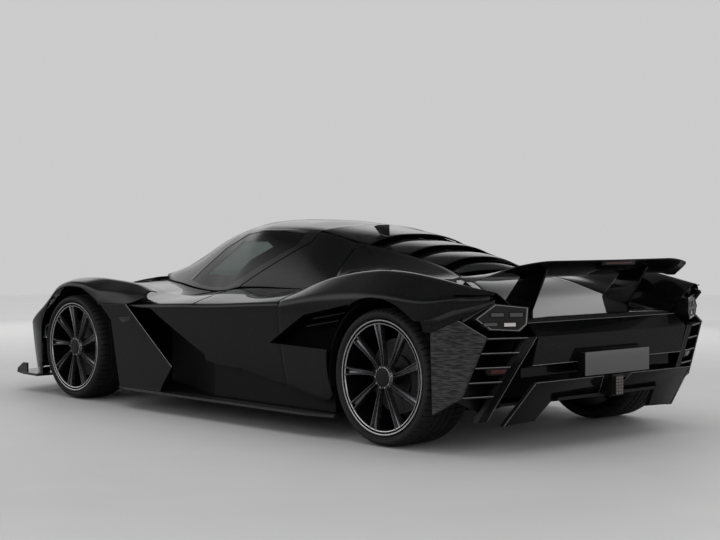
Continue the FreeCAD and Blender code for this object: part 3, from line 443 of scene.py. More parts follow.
def through(stations, places):
    """Monotone cubic curves through values given at rising stations, read at other places."""
    xs = np.array([s for s, _ in stations], float)
    ys = np.array([np.asarray(v, float) for _, v in stations])
    step = np.diff(xs)
    slope = np.diff(ys, axis=0) / step.reshape(-1, *[1] * (ys.ndim - 1))
    tangent = np.zeros_like(ys)
    tangent[0], tangent[-1] = slope[0], slope[-1]
    if len(xs) > 2:
        wide = (step[:-1] + 2 * step[1:], 2 * step[:-1] + step[1:])
        w1, w2 = [w.reshape(-1, *[1] * (ys.ndim - 1)) for w in wide]
        same = slope[:-1] * slope[1:] > 0
        safe = np.where(same, w1 / np.where(same, slope[:-1], 1) + w2 / np.where(same, slope[1:], 1), 1)
        tangent[1:-1] = np.where(same, (w1 + w2) / safe, 0)
    out = []
    for x in places:
        i = int(np.clip(np.searchsorted(xs, x) - 1, 0, len(step) - 1))
        t = (x - xs[i]) / step[i]
        out.append((2 * t ** 3 - 3 * t ** 2 + 1) * ys[i] + (t ** 3 - 2 * t ** 2 + t) * step[i] * tangent[i]
                   + (3 * t ** 2 - 2 * t ** 3) * ys[i + 1] + (t ** 3 - t ** 2) * step[i] * tangent[i + 1])
    return np.array(out)


def stations_along(first, last, step=STEP_ALONG):
    """Even places between two stations, about a step apart."""
    count = max(2, int(round(abs(last - first) / step)) + 1)
    return np.linspace(first, last, count)


def eased(grid, passes):
    """Rows of a grid averaged with their neighbours along the car, ends held."""
    for _ in range(passes):
        grid[1:-1] = (grid[:-2] + 2 * grid[1:-1] + grid[2:]) / 4
    return grid


def panel_grid(table, bend=BEND, crown=0.012, passes=6):
    """(x, y, z) points, in mm from mid wheelbase, of a smooth panel through a table's stations."""
    rows = sorted((row[0], rolled(list(zip(row[1::2], row[2::2])), bend, crown)) for row in table)
    places = stations_along(rows[0][0], rows[-1][0])
    lines = eased(through(rows, places), passes)
    xs = np.repeat(places[:, None], lines.shape[1], axis=1)
    return np.concatenate([xs[:, :, None], lines], axis=2)


# %% [markdown]
# A drawn surface has no thickness yet. It becomes a panel by copying every point inwards along
# the surface's own normal and closing the rim, then the rim's edges are rolled a little so that
# they catch a thin line of light, as the seams of a real body do.

# %% Panels from grids
PANEL_THICK = 5.0
EDGE_ROLL = 1.6
SHARP_FROM = 32


def object_of(name, mesh):
    made = bpy.data.objects.new(name, mesh)
    bpy.context.scene.collection.objects.link(made)
    return made


def mesh_object(name, points, faces):
    """A mesh from points in mm measured from mid wheelbase."""
    mesh = bpy.data.meshes.new(name)
    placed = np.asarray(points, float).reshape(-1, 3) * MM
    placed[:, 0] += MID * MM
    mesh.from_pydata(placed.tolist(), [], faces)
    return object_of(name, mesh)


def smooth_shaded(made):
    """Shading smoothed except at sharp edges."""
    made.data.shade_smooth()
    made.data.set_sharp_from_angle(angle=radians(SHARP_FROM))
    return made


def outward(made, weld=0.0):
    """Faces turned to look outwards, and points closer than weld, in mm, made one."""
    work = bmesh.new()
    work.from_mesh(made.data)
    if weld:
        bmesh.ops.remove_doubles(work, verts=work.verts, dist=weld * MM)
    bmesh.ops.recalc_face_normals(work, faces=work.faces)
    work.to_mesh(made.data)
    work.free()
    return smooth_shaded(made)


def grid_normals(grid):
    """The surface's own normal at each point of a grid."""
    along = np.gradient(grid, axis=0)
    across = np.gradient(grid, axis=1)
    normal = np.cross(along, across)
    length = np.linalg.norm(normal, axis=2, keepdims=True)
    return normal / np.maximum(length, 1e-9)


def shell(name, grid, thick=PANEL_THICK, roll=EDGE_ROLL, outside=(0, 0, 1)):
    """A closed panel whose outer face is the grid; outside is a direction that its front looks to."""
    rows, columns = grid.shape[:2]
    normal = grid_normals(grid)
    if float((normal * np.array(outside)).sum()) < 0:
        normal = -normal
    points = np.concatenate([grid.reshape(-1, 3), (grid - normal * thick).reshape(-1, 3)])
    count = rows * columns
    faces = []
    for i in range(rows - 1):
        for j in range(columns - 1):
            a = i * columns + j
            quad = (a, a + 1, a + columns + 1, a + columns)
            faces.append(quad)
            faces.append(tuple(count + k for k in reversed(quad)))
    rim = [i * columns for i in range(rows)]
    rim += [(rows - 1) * columns + j for j in range(1, columns)]
    rim += [i * columns + columns - 1 for i in range(rows - 2, -1, -1)]
    rim += [j for j in range(columns - 2, 0, -1)]
    for a, b in zip(rim, rim[1:] + rim[:1]):
        faces.append((a, b, b + count, a + count))
    made = mesh_object(name, points, faces)
    if roll:
        work = bmesh.new()
        work.from_mesh(made.data)
        work.verts.ensure_lookup_table()
        edge = set()
        for a, b in zip(rim, rim[1:] + rim[:1]):
            found = work.edges.get((work.verts[a], work.verts[b]))
            edge.add(found)
        bmesh.ops.bevel(work, geom=list(edge), offset=roll * MM, segments=2, profile=0.6, affect="EDGES")
        work.to_mesh(made.data)
        work.free()
    return outward(made)


# %% [markdown]
# Flat pieces, such as blades and plates, are outlines drawn out in one direction. The same
# prisms serve as cutting tools: a Boolean takes a wheel arch or a window out of a panel more
# cleanly than moving points by hand would. Its result is applied at once, so what is left is a
# plain mesh.

# %% Prisms and cuts
def prism(name, outline, direction):
    """Outline points (x, y, z) in mm from mid wheelbase, drawn out along a direction."""
    base = [np.array(p, float) for p in outline]
    top = [p + np.array(direction, float) for p in base]
    n = len(base)
    faces = [tuple(range(n)), tuple(reversed(range(n, 2 * n)))]
    faces += [(i, (i + 1) % n, (i + 1) % n + n, i + n) for i in range(n)]
    return outward(mesh_object(name, base + top, faces))


def side_prism(name, outline, y0, y1):
    return prism(name, [(x, y0, z) for x, z in outline], (0, y1 - y0, 0))


def plan_prism(name, outline, z0, z1):
    return prism(name, [(x, y, z0) for x, y in outline], (0, 0, z1 - z0))


def disc_outline(x, z, radius, count=96, start=0.0, end=360.0):
    angles = np.radians(np.linspace(start, end, count, endpoint=end - start < 360))
    return [(x + radius * cos(a), z + radius * sin(a)) for a in angles]


def settled(made):
    """The object's mesh with its modifiers applied."""
    graph = bpy.context.evaluated_depsgraph_get()
    mesh = bpy.data.meshes.new_from_object(made.evaluated_get(graph))
    made.modifiers.clear()
    old = made.data
    made.data = mesh
    bpy.data.meshes.remove(old)
    return made


def removed(*objects):
    for each in objects:
        bpy.data.objects.remove(each)


def cut(made, *tools, keep=False, operation="DIFFERENCE"):
    """The piece with the tools' shapes taken out of it, or kept in common."""
    for tool in tools:
        step = made.modifiers.new("cut", "BOOLEAN")
        step.operation = operation
        step.solver = "EXACT"
        step.object = tool
    settled(made)
    if not keep:
        removed(*tools)
    return smooth_shaded(made)


# %% [markdown]
# A car is the same on both sides, so most pieces are made once, on the left, and mirrored. Small
# ones that share a finish are merged into one. Last, each is dressed: it gets its finish, the
# body it rides, its material slot, and the CAD nodes that it stands for.

# %% Copies and dressing
def copied(name, made):
    return object_of(name, made.data.copy())


def mirrored(made, name):
    """A copy on the other side of the car."""
    twin = copied(name, made)
    for vertex in twin.data.vertices:
        vertex.co.y = -vertex.co.y
    twin.data.flip_normals()
    return twin


def merged(name, *objects):
    """Several meshes made into one piece."""
    work = bmesh.new()
    for each in objects:
        work.from_mesh(each.data)
    mesh = bpy.data.meshes.new(name)
    work.to_mesh(mesh)
    work.free()
    removed(*objects)
    return smooth_shaded(object_of(name, mesh))


def dressed(made, finish, body, stands_for=()):
    """A finished piece: its material, the body it rides and the CAD nodes it stands for."""
    made.data.materials.clear()
    made.data.materials.append(finish.material)
    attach(made, body)
    if stands_for:
        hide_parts(*stands_for)
    return made


def on_both_sides(made, finish, body, stands_for=""):
    """The left piece and its mirror image, each standing for its own side's node."""
    base = made.name
    twin = mirrored(made, base + "_right")
    made.name = base + "_left"
    for each, side in ((made, "left"), (twin, "right")):
        nodes = (stands_for + "_" + side,) if stands_for else ()
        dressed(each, finish, body, nodes)
    return made, twin


# %% [markdown]
# Turned pieces and lofts are rings of points with a skin over them. A turned piece keeps its
# rings round, and a loft lets them change shape on the way. A closed ring makes a tube, whose two
# ends are capped. A bevel then takes the knife edge off, since no real edge is quite sharp.

# %% Lofts, turned pieces and soft edges
def from_rings(name, rings, capped=True, weld=0.0):
    """A skin over closed rings of points; capped closes the first and last."""
    rows, columns = len(rings), len(rings[0])
    points = [p for ring in rings for p in ring]
    faces = []
    for i in range(rows - 1):
        for j in range(columns):
            k = (j + 1) % columns
            faces.append((i * columns + j, i * columns + k, (i + 1) * columns + k, (i + 1) * columns + j))
    if capped:
        faces.append(tuple(range(columns)))
        faces.append(tuple((rows - 1) * columns + j for j in range(columns)))
    return outward(mesh_object(name, points, faces), weld)


def along_axis(name, centre, axis, radii, steps, oval=1.0, count=40):
    """A turned piece whose rings of the given radii lie at the given steps along an axis."""
    axis = Vector(axis).normalized()
    flat = (Vector((1, 0, 0)) - axis * axis.x).normalized()
    upright = axis.cross(flat)
    turns = [2 * pi * k / count for k in range(count)]
    return from_rings(name, [
        [Vector(centre) + axis * step + flat * radius * oval * cos(turn) + upright * radius * sin(turn)
         for turn in turns] for radius, step in zip(radii, steps)])


def softened(made, width, segments=3, angle=35):
    """Edges sharper than an angle rolled by a bevel, which is then applied."""
    step = made.modifiers.new("soft edge", "BEVEL")
    step.width = width * MM
    step.segments = segments
    step.limit_method = "ANGLE"
    step.angle_limit = radians(angle)
    return outward(settled(made))


def wire(name, points, radius=1.5):
    """A thin six-sided line through points, for seams and for painted highlights on edges that catch the light."""
    points = [np.array(p, float) for p in points]
    rings = []
    for i, point in enumerate(points):
        along = points[min(i + 1, len(points) - 1)] - points[max(i - 1, 0)]
        along /= np.linalg.norm(along)
        aside = np.cross(along, (0.31, 0.17, 0.93))
        aside /= np.linalg.norm(aside)
        upright = np.cross(along, aside)
        rings.append([point + radius * (aside * cos(a) + upright * sin(a)) for a in np.arange(6) * pi / 3])
    return from_rings(name, rings)


# %% [markdown]
# Front fenders float free of the tub: each is a shell over the wheel whose tail runs back over
# the flank. The columns give the foot, the inner edge, inner shoulder, crest, outer shoulder and
# lower edge at each station. A cut through so folded a shell breaks easily, so the arch is drawn
# into it instead: over the wheel, the outer wall's points are spread only down to the arch's edge.

# %% Front fender lines
FOOT_Z = 129.0
FENDER = [
    (2298, FOOT_Z, 351, 440, 430, 455, 540, 450, 630, 400, 636, FOOT_Z),
    (2032, FOOT_Z, 486, 556, 600, 587, 760, 562, 893, 471, 850, FOOT_Z),
    (1812, FOOT_Z, 517, 628, 660, 656, 830, 640, 954, 560, 952, FOOT_Z),
    (1664, 600, 543, 655, 680, 712, 845, 724, 962, 660, 970, 580),
    (1588, 640, 556, 664, 700, 730, 850, 750, 968, 712, 978, 600),
    (1425, 680, 580, 690, 720, 748, 850, 772, 972, 745, 986, 600),
    (1269, 700, 612, 708, 740, 752, 860, 776, 974, 738, 988, 600),
    (1049, 722, 690, 728, 780, 747, 870, 768, 974, 700, 986, 615),
    (869, 724, 750, 730, 810, 746, 880, 753, 966, 700, 984, 622),
    (754, 716, 800, 722, 845, 733, 890, 735, 954, 696, 982, 634),
    (618, 698, 872, 704, 898, 710, 920, 709, 941, 697, 954, 676),
]
ARCH_EDGE = [(1084, 624), (1192, 675), (1293, 712), (1412, 722), (1544, 704),
             (1641, 658), (1716, 594), (1790, 488), (1804, 450)]
print("fender:", len(FENDER), "stations, arch", max(z for _, z in ARCH_EDGE), "mm high")


# %% Front fenders
def raised(line, edge):
    """A section whose outer wall ends at the arch's edge instead of at its foot."""
    line = line.copy()
    top, foot = line[-RUN_STEPS - 1].copy(), line[-1].copy()
    share = float(np.clip((top[2] - edge) / (top[2] - foot[2]), 0.05, 1.0))
    for step in range(RUN_STEPS + 1):
        line[step - RUN_STEPS - 1] = top + (foot - top) * share * step / RUN_STEPS
    return line


def arched(grid, edge):
    """The fender's grid with the wheel's arch drawn into its outer wall."""
    places, heights = zip(*edge)
    xs = grid[:, 0, 0]
    front = places[-1]
    i = int(np.searchsorted(xs, front))
    t = (front - xs[i - 1]) / (xs[i] - xs[i - 1])
    last = grid[i - 1] * (1 - t) + grid[i] * t
    lines = []
    for line in [*grid[:i], last]:
        x = line[0, 0]
        lines.append(raised(line, np.interp(x, places, heights)) if x > places[0] else line)
    return np.array(lines + [last + np.array([0.6, 0, 0])] + list(grid[i:]))


footed = [(row[0], row[2], row[1], *row[2:]) for row in FENDER]
fender = shell("front_fender", arched(panel_grid(footed, passes=3), ARCH_EDGE), roll=0.6)
on_both_sides(fender, paint, "chassis", "front_fender")
print("front fender:", len(fender.data.polygons), "faces")

# %% [markdown]
# The fender's front face is an air inlet: a carbon frame with level blades across it, which
# stop stones and steer the air to the brakes. Frame and blades are prisms, since they are flat.

# %% Front inlets
INLET = [(352, 326), (638, 326), (638, FOOT_Z), (352, FOOT_Z)]
INLET_HOLE = [(384, 294), (604, 294), (606, 162), (384, 162)]
inlet = prism("front_inlet", [(2297, y, z) for y, z in INLET], (-14, 0, 0))
cut(inlet, prism("hole_tool", [(2320, y, z) for y, z in INLET_HOLE], (-60, 0, 0)))
on_both_sides(inlet, carbon, "chassis")
blades = [side_prism("blade", [(2292, z), (2240, z + 8), (2240, z + 12), (2292, z + 4)], 380, 608)
          for z in range(178, 290, 22)]
print("inlet blades:", len(blades))
on_both_sides(merged("front_inlet_blades", *blades), satin, "chassis")

# %% [markdown]
# The flank is the long side panel: a shelf beside the canopy, a sharp belt line, and a face that
# leans in towards the floor. Behind it the haunch swells over the rear wheel and runs in to the
# tail. Both are drawn by stations again: each row is a place along the car, then y and z pairs.

# %% Flank and haunch lines
LEDGE_Z = 744.7
FLANK = [
    (1662, 30, 739, 360, 714, 540, 645, 548, 634, 552, 620),
    (1400, 180, 734, 420, 723, 566, 683, 574, 670, 578, 656),
    (1100, 300, 726, 560, 713, 745, 677, 756, 662, 760, 646),
    (900, 360, 711, 640, 701, 900, 649, 908, 632, 910, 614),
    (754, 400, 704, 700, 687, 974, 628, 974, 610, 970, 580),
    (537, 440, 697, 740, 683, 978, 637, 975, 560, 965, 490),
    (152, 515, 736, 780, 705, 982, 651, 970, 515, 945, 370),
    (48, 525, LEDGE_Z - 4, 790, 711, 982, 653, 968, 500, 935, 335),
    (-345, 550, LEDGE_Z, 810, 723, 983, 674, 968, 487, 924, 292),
    (-655, 570, LEDGE_Z, 840, 750, 985, 691, 968, 470, 915, 240),
]
HAUNCH = [
    (-656, 392, 1008, 514, 886, 596, 782, 850, 753, 985, 691, 968, 470, 915, 238),
    (-985, 325, 940, 500, 868, 680, 838, 870, 839, 987, 736, 982, 463, 930, 180),
    (-1230, 299, 876, 490, 836, 690, 848, 874, 875, 1003, 753, 1000, 600, 990, 480),
    (-1350, 299, 838, 480, 822, 690, 852, 880, 883, 1014, 758, 1007, 650, 999, 560),
    (-1477, 351, 812, 510, 812, 700, 850, 882, 879, 1019, 761, 1012, 700, 1005, 640),
    (-1745, 471, 718, 600, 752, 730, 806, 866, 848, 1011, 743, 1005, 690, 997, 640),
    (-1900, 515, 682, 620, 716, 730, 766, 846, 819, 951, 763, 953, 730, 947, 696),
    (-2050, 559, 646, 630, 680, 720, 738, 806, 790, 835, 779, 845, 758, 845, 738),
]
CHANNEL = [(537, 612), (48, 368), (48, 100), (1750, 100), (1750, 612)]
INTAKE = [(-563, 470), (-865, 635), (-1235, 706), (-1047, 463)]
VENTS = [
    [(-84, 246), (-126, 301), (-209, 311), (-286, 308)],
    [(-223, 209), (-360, 262), (-493, 264), (-360, 216)],
]
print("flank and haunch:", len(FLANK), "and", len(HAUNCH), "stations")

# %% [markdown]
# The openings are cut through both panels with prisms: the channel behind the front wheel, the
# rear wheel's arch, the long side intake, two low vents, and the oval outlet in the haunch's
# inner slope. The outlet gets a deep cup, so that it looks like a duct and not like a hole.

# %% Flanks and haunches
WIDE = 1300.0
ARCH_RISE = 6.0
REAR_LIP_R = 395.0
OUTLET = (-1790.0, 655.0, 780.0)
OUTLET_AIM = (-0.45, -0.45, 0.77)
front_x = FRONT_AXLE.x - MID
rear_x = REAR_AXLE.x - MID
flank = shell("flank", panel_grid(FLANK, passes=3), roll=0.4)
haunch = shell("haunch", panel_grid(HAUNCH, bend=30.0, passes=6), roll=0.4)
intake_tool = side_prism("intake_tool", INTAKE, 870, WIDE)
rear_arch = disc_outline(rear_x, REAR_AXLE.z + ARCH_RISE, REAR_LIP_R)
cut(haunch, side_prism("arch_tool", rear_arch, 540, WIDE))
cut(haunch, intake_tool, keep=True)
cut(haunch, along_axis("outlet_tool", OUTLET, OUTLET_AIM, (60, 60), (-70, 70), 1.5))
cut(flank, intake_tool, side_prism("channel_tool", CHANNEL, 400, WIDE),
    *[side_prism("vent_tool", vent, 400, WIDE) for vent in VENTS])
on_both_sides(flank, paint, "chassis", "flank")
on_both_sides(haunch, paint, "chassis", "haunch")
cup_radii, cup_steps = (30, 48, 59.5, 59.5, 50, 44), (-70, -66, -30, 0, -4, -50)
cup = along_axis("haunch_outlet", OUTLET, OUTLET_AIM, cup_radii, cup_steps, 1.5)
on_both_sides(cup, duct_and_shade, "chassis")
print("flank and haunch:", len(flank.data.polygons), "and", len(haunch.data.polygons), "faces")

# %% [markdown]
# Behind the wheel the haunch folds under and runs back to the tail as a narrow panel. It is a
# strip between two lines, one along the haunch's lower edge and one a hand lower. In the side
# intake two thin slats slope back along the airflow.

# %% Haunch returns and intake slats
RETURN_TOP = [(-1747, 1004, 645), (-1800, 985, 655), (-1900, 948, 698), (-2050, 845, 740)]
RETURN_FOOT = [(-1760, 999, 592), (-1795, 987, 588), (-1926, 931, 652), (-2072, 842, 736)]
under = np.array([[foot, (np.array(foot) + top) / 2, top] for foot, top in zip(RETURN_FOOT, RETURN_TOP)], float)
on_both_sides(shell("haunch_return", under, 3.0, 0.4, (0, 1, 0)), paint, "chassis")
slats = [side_prism("slat", [(x0, z0), (x0 - 250, z0 + 42), (x0 - 250, z0 + 46), (x0, z0 + 6)], 905, 950)
         for x0, z0 in ((-900, 612), (-850, 570))]
print("intake slats:", len(slats))
on_both_sides(merged("intake_slats", *slats), satin, "chassis")

# %% [markdown]
# The haunch ends behind in two thin fins, one above the other, that run in to a point. Each is a
# narrow blade on the panel's rear edge, so a dark line is left between them.

# %% Tail fins
fins = []
for z, reach in ((774, 0), (756, 10)):
    plan = [(-1900 + reach, 946), (-1980, 905), (-2062 + reach, 838),
            (-2058 + reach, 824), (-1985, 868), (-1900, 915)]
    fins.append(plan_prism("fin", plan, z, z + 5))
print("tail fins a side:", len(fins))
on_both_sides(merged("tail_fins", *fins), paint, "chassis")

# %% [markdown]
# Round each wheel the well is lined with a dark hoop, as real wells are lined against stones, so
# nothing pale shows through the open arches. Columns: name, axle x and z, radius, inner and outer
# y, and the angles where the hoop starts and ends.

# %% Wheel liners
LINERS = [("front", front_x, FRONT_AXLE.z, 383.0, 548.0, 900.0, 18, 150),
          ("rear", rear_x, REAR_AXLE.z, 392.0, 548.0, 955.0, -12, 192)]
for name, x, z, radius, near, far, first, last in LINERS:
    rows = []
    for angle in np.radians(np.linspace(first, last, 40)):
        place = (x + radius * cos(angle), z + ARCH_RISE + radius * sin(angle))
        rows.append([(place[0], y, place[1]) for y in (near, (near + far) / 2, far)])
    hoop = shell("wheel_liner_" + name, np.array(rows), 3.0, 0)
    on_both_sides(hoop, plastic, "chassis")
print("wheel liners:", len(LINERS) * 2)

# %% [markdown]
# The nose cover lies between the fenders and runs from the pointed tip up to the screen. Its
# rows give the left half, and the other half is their mirror image.

# %% Nose cover
NOSE = [
    (2458, 0, 426, 20, 425, 45, 421, 62, 409),
    (2300, 0, 524, 80, 522, 200, 507, 346, 441),
    (2032, 0, 644, 130, 641, 320, 617, 481, 557),
    (1812, 0, 713, 120, 711, 330, 684, 512, 629),
    (1664, 0, 755, 120, 753, 360, 718, 538, 656),
]


def whole_rows(table):
    """Half stations, from the middle outwards, mirrored into full ones."""
    rows = []
    for row in table:
        half = list(zip(row[1::2], row[2::2]))
        line = [(-y, z) for y, z in reversed(half[1:])] + half
        rows.append((row[0], *[v for point in line for v in point]))
    return rows


nose = shell("nose_cover_skin", panel_grid(whole_rows(NOSE), bend=40.0))
cut(nose, plan_prism("notch_tool", [(1600, -37), (1600, 37), (1709, 37), (1709, -37)], 600, 900))
dressed(nose, paint, "chassis", ["nose_cover"])
print("nose cover:", len(nose.data.polygons), "faces")

# %% [markdown]
# The engine cover is laid like roof tiles: each panel ends in a raised lip over a dark slot, and
# the next begins a little lower, so hot air leaves through three louvres across the car's back.
# The lips rise more at their ends than in the middle. A tray under the tiles closes the slots, its near-black finish
# painted shade.

# %% Arched panels
CROWN_POWER = 2.6
# Columns: x, edge y and z, crown z
COVER = [(-353, 400, 1075, 1107), (-655, 382, 1008, 1059), (-985, 315, 940, 982),
         (-1230, 289, 876, 917), (-1322, 285, 848, 862)]
DECK = [(-1357, 299, 837, 822), (-1477, 348, 812, 807), (-1745, 468, 718, 725), (-2050, 555, 647, 650)]


def crowned_grid(table, first, last, lift=None, columns=41, reach=1.0):
    """A panel arched from side to side between two places; lift(share, t) raises it off the surface."""
    rows = sorted((row[0], row[1:]) for row in table)
    places = stations_along(first, last, 18.0)
    made = []
    for x, (edge_y, edge_z, crown_z) in zip(places, through(rows, places)):
        t = np.linspace(-reach, reach, columns)
        z = edge_z + (crown_z - edge_z) * (1 - np.abs(t) ** CROWN_POWER)
        if lift:
            z = z + lift((x - first) / (last - first), np.abs(t))
        made.append(np.stack([np.full(columns, x), t * edge_y, z], axis=1))
    return np.array(made)


print("cover:", COVER[0][0] - COVER[-1][0], "mm long, deck:", DECK[0][0] - DECK[-1][0], "mm long")

# %% Louvred engine cover
# Columns: place of the slot, lip rise in the middle and at the ends
LOUVRES = [(-722, 9, 3), (-975, 9, 3), (-1215, 8, 3)]
DROP = 16.0
END_DROP = 34.0
SLOT = 10.0
starts = [(COVER[0][0], 0.0)] + [(x - SLOT, 1.0) for x, *_ in LOUVRES]
stops = LOUVRES + [(COVER[-1][0], 0.0, 0.0)]
tiles = []
for (front, drop), (back, rise, end_rise) in zip(starts, stops):
    def tile_lift(share, t, drop=drop, rise=rise, end_rise=end_rise):
        sunk = (DROP + (END_DROP - DROP) * t ** 2) * drop
        return (rise + (end_rise - rise) * t ** 2) * share ** 1.6 - sunk * (1 - share) ** 2
    tiles.append(shell("tile", crowned_grid(COVER, front, back, tile_lift), 3.5, 1.0))
dressed(merged("engine_cover_skin", *tiles), paint, "engine_lid", ["engine_cover"])
# the tray's near-black finish is painted shade in the louvre slots
TRAY_DROP = -46.0
tray = shell("cover_tray", crowned_grid(COVER, -400, -1300, lambda share, t: TRAY_DROP, reach=0.94), 3.0, 0)
dressed(tray, duct_and_shade, "engine_lid")
print("tiles:", len(tiles), "slots:", len(LOUVRES))

# %% [markdown]
# A small fin on the cover holds the aerial and opens with it. Behind the cover the deck runs down
# between the haunches to the tail: one arched panel, drawn by the same helper as the tiles, with
# a strip of open mesh where it meets the cover.

# %% Aerial fin and rear deck
AERIAL = [(-655, 1052), (-604, 1098), (-640, 1106), (-726, 1106), (-728, 1042)]
aerial = softened(side_prism("aerial_fin", AERIAL, 225, 235), 3, angle=30)
dressed(aerial, paint, "engine_lid")

deck = shell("rear_deck_skin", crowned_grid(DECK, DECK[0][0], DECK[-1][0]), 6.0)
dressed(deck, paint, "chassis", ["rear_deck"])
apron = shell("deck_mesh", crowned_grid(DECK, -1360, -1450, lambda share, t: 1.4), 1.0, 0)
dressed(apron, carbon_satin, "chassis")
print("deck:", len(deck.data.polygons), "faces")

# %% [markdown]
# The greenhouse is one teardrop bubble. The canopy lifts with its glass, and the part behind the
# slanting shut line stays on the body as a pair of buttresses. A bubble could be sculpted, but
# arcs drawn through a base, a shoulder and a crown at each station stay exactly symmetric.

# %% Greenhouse lines
BASE_Z = 745.0
# Columns: x, base y, base z, shoulder y, shoulder z, crown z
GREENHOUSE = [
    (1655, 45, BASE_Z, 26, 757, 764),
    (1400, 215, 740, 135, 799, 826),
    (1090, 340, 731, 198, 878, 944),
    (842, 415, 713, 235, 965, 1043),
    (600, 468, 702, 265, 1038, 1103),
    (445, 503, 708, 300, 1064, 1128),
    (200, 545, 738, 372, 1081, 1140),
    (-100, 570, BASE_Z, 398, 1082, 1135),
    (-345, 585, BASE_Z, 410, 1076, 1108),
    (-655, 600, BASE_Z, 392, 1008, 1059),
]
SEAM = [(348, 690), (-330, 1010), (-345, 1076), (-345, 1400)]
SIDE_GLASS = [
    (930, 752), (800, 734), (600, 720), (450, 726), (330, 752), (-205, 984),
    (-235, 1052), (-20, 1066), (200, 1066), (430, 1046), (640, 965),
]
SCREEN = [(1590, 25), (1446, 150), (1196, 262), (1010, 312), (640, 262), (470, 240)]
print("greenhouse:", GREENHOUSE[0][0] - GREENHOUSE[-1][0], "mm long, crown at", max(row[5] for row in GREENHOUSE))


# %% Greenhouse bubble
def arc_points(a, b, c, count):
    """Points on the circle through three (y, z) points, from a to c."""
    (ax, ay), (bx, by), (cx, cy) = a, b, c
    d = 2 * (ax * (by - cy) + bx * (cy - ay) + cx * (ay - by))
    if abs(d) < 1e-6:
        return [np.array(a) + (np.array(c) - np.array(a)) * t for t in np.linspace(0, 1, count)]
    squares = [ax * ax + ay * ay, bx * bx + by * by, cx * cx + cy * cy]
    ux = (squares[0] * (by - cy) + squares[1] * (cy - ay) + squares[2] * (ay - by)) / d
    uy = (squares[0] * (cx - bx) + squares[1] * (ax - cx) + squares[2] * (bx - ax)) / d
    radius = sqrt((ax - ux) ** 2 + (ay - uy) ** 2)
    start = np.arctan2(ay - uy, ax - ux)
    turn = (np.arctan2(cy - uy, cx - ux) - start + pi) % (2 * pi) - pi
    middle = (np.arctan2(by - uy, bx - ux) - start + pi) % (2 * pi) - pi
    if middle * turn < 0 or abs(middle) > abs(turn):
        turn = turn - 2 * pi if turn > 0 else turn + 2 * pi
    angles = start + turn * np.linspace(0, 1, count)
    return [np.array([ux + radius * cos(t), uy + radius * sin(t)]) for t in angles]


def bubble_grid(inset, first=-655, last=1655, passes=5):
    """The bubble's points, drawn in by an inset, its shoulders rounded by a few passes."""
    rows = sorted((row[0], row[1:]) for row in GREENHOUSE)
    places = stations_along(first, last, 20.0)
    made = []
    for x, (base_y, low, shoulder_y, shoulder_z, crown_z) in zip(places, through(rows, places)):
        b, s = max(base_y - inset, 20), max(shoulder_y - inset * 0.75, 12)
        sz, cz = max(shoulder_z - inset * 0.9, low + 4), max(crown_z - inset, low + 7)
        bulge = ((b + s) / 2 + 20, (low + sz) / 2 + 10)
        side = arc_points((b, low), bulge, (s, sz), 15)
        roof = arc_points((s, sz), (0, cz), (-s, sz), 33)
        line = side + roof[1:] + [np.array([-y, z]) for y, z in reversed(side[:-1])]
        line = np.array(line)
        for _ in range(passes):
            line[1:-1] = (line[:-2] + 2 * line[1:-1] + line[2:]) / 4
        made.append(np.column_stack([np.full(len(line), x), line]))
    return np.array(made)


# %% [markdown]
# The bubble is cut apart by prisms seen from the side and from above: behind the shut line it is
# buttress, before it canopy, and the windows are taken out of the canopy. The same prisms cut
# the panes later, so glass and opening always match.

# %% Canopy and buttresses
SHELL_THICK = 22.0


def behind_seam(name, back, down):
    outline = [(x - back, z - down) for x, z in SEAM]
    return side_prism(name, outline + [(-900, 1400), (-900, 600)], -WIDE, WIDE)


def side_tools(outline, near=180.0):
    return [side_prism("side_tool", outline, y0, y1) for y0, y1 in ((near, WIDE), (-WIDE, -near))]


def window_tools():
    plan = SCREEN + [(x, -y) for x, y in reversed(SCREEN)]
    return side_tools(SIDE_GLASS) + [plan_prism("screen_tool", plan, BASE_Z + 8, 1400)]


canopy = shell("canopy_skin", bubble_grid(0), SHELL_THICK)
buttress = copied("buttress_skin", canopy)
cut(canopy, behind_seam("seam_tool", 0, 0), *window_tools())
dressed(canopy, paint, "canopy", ["canopy_frame"])

cut(buttress, behind_seam("seam_tool", 6, 5), operation="INTERSECT")
lid_room = [(-300, 408)] + [(row[0], row[1] + 9) for row in COVER]
cut(buttress, plan_prism("lid_tool", lid_room + [(x, -y) for x, y in reversed(lid_room)], 800, 1400))
dressed(buttress, paint, "chassis", ["buttresses"])
print("canopy:", len(canopy.data.polygons), "faces, buttresses:", len(buttress.data.polygons))

# %% [markdown]
# The side window is printed black round its edge, which hides the bond to the frame, and only
# the middle is clear. The pane is therefore made twice: the clear part and the printed border.

# %% Panes
CLEAR = [(745, 797), (330, 800), (190, 900), (15, 975), (50, 990), (100, 1006), (430, 1006)]
pane_source = shell("pane_source", bubble_grid(1.5), 4.0, 0)
cut(pane_source, behind_seam("seam_tool", 0, 0))
screen_tools = window_tools()
clear, border = [], []
for tool in screen_tools:
    pane = cut(copied("pane", pane_source), tool, operation="INTERSECT")
    if len(border) < 2:
        border.append(cut(copied("border", pane), *side_tools(CLEAR)))
        for middle in side_tools(CLEAR):
            piece = cut(copied("clear", pane), middle, operation="INTERSECT")
            if len(piece.data.vertices):
                clear.append(piece)
            else:
                removed(piece)
        removed(pane)
    else:
        screen_pane = pane
removed(pane_source)
screen_pane.name = "windscreen"
print("clear panes:", len(clear), "printed borders:", len(border))
dressed(merged("side_glass", *clear), clear_glass, "canopy", ["canopy_glass"])
dressed(merged("side_glass_border", *border), black_glass, "canopy")
dressed(screen_pane, glass, "canopy")

# %% [markdown]
# Over each side window runs a slim strip of bare carbon. It is thinner than paint would chip, so
# it is a slice of the same bubble, a millimetre proud of it, kept where a side prism meets it.

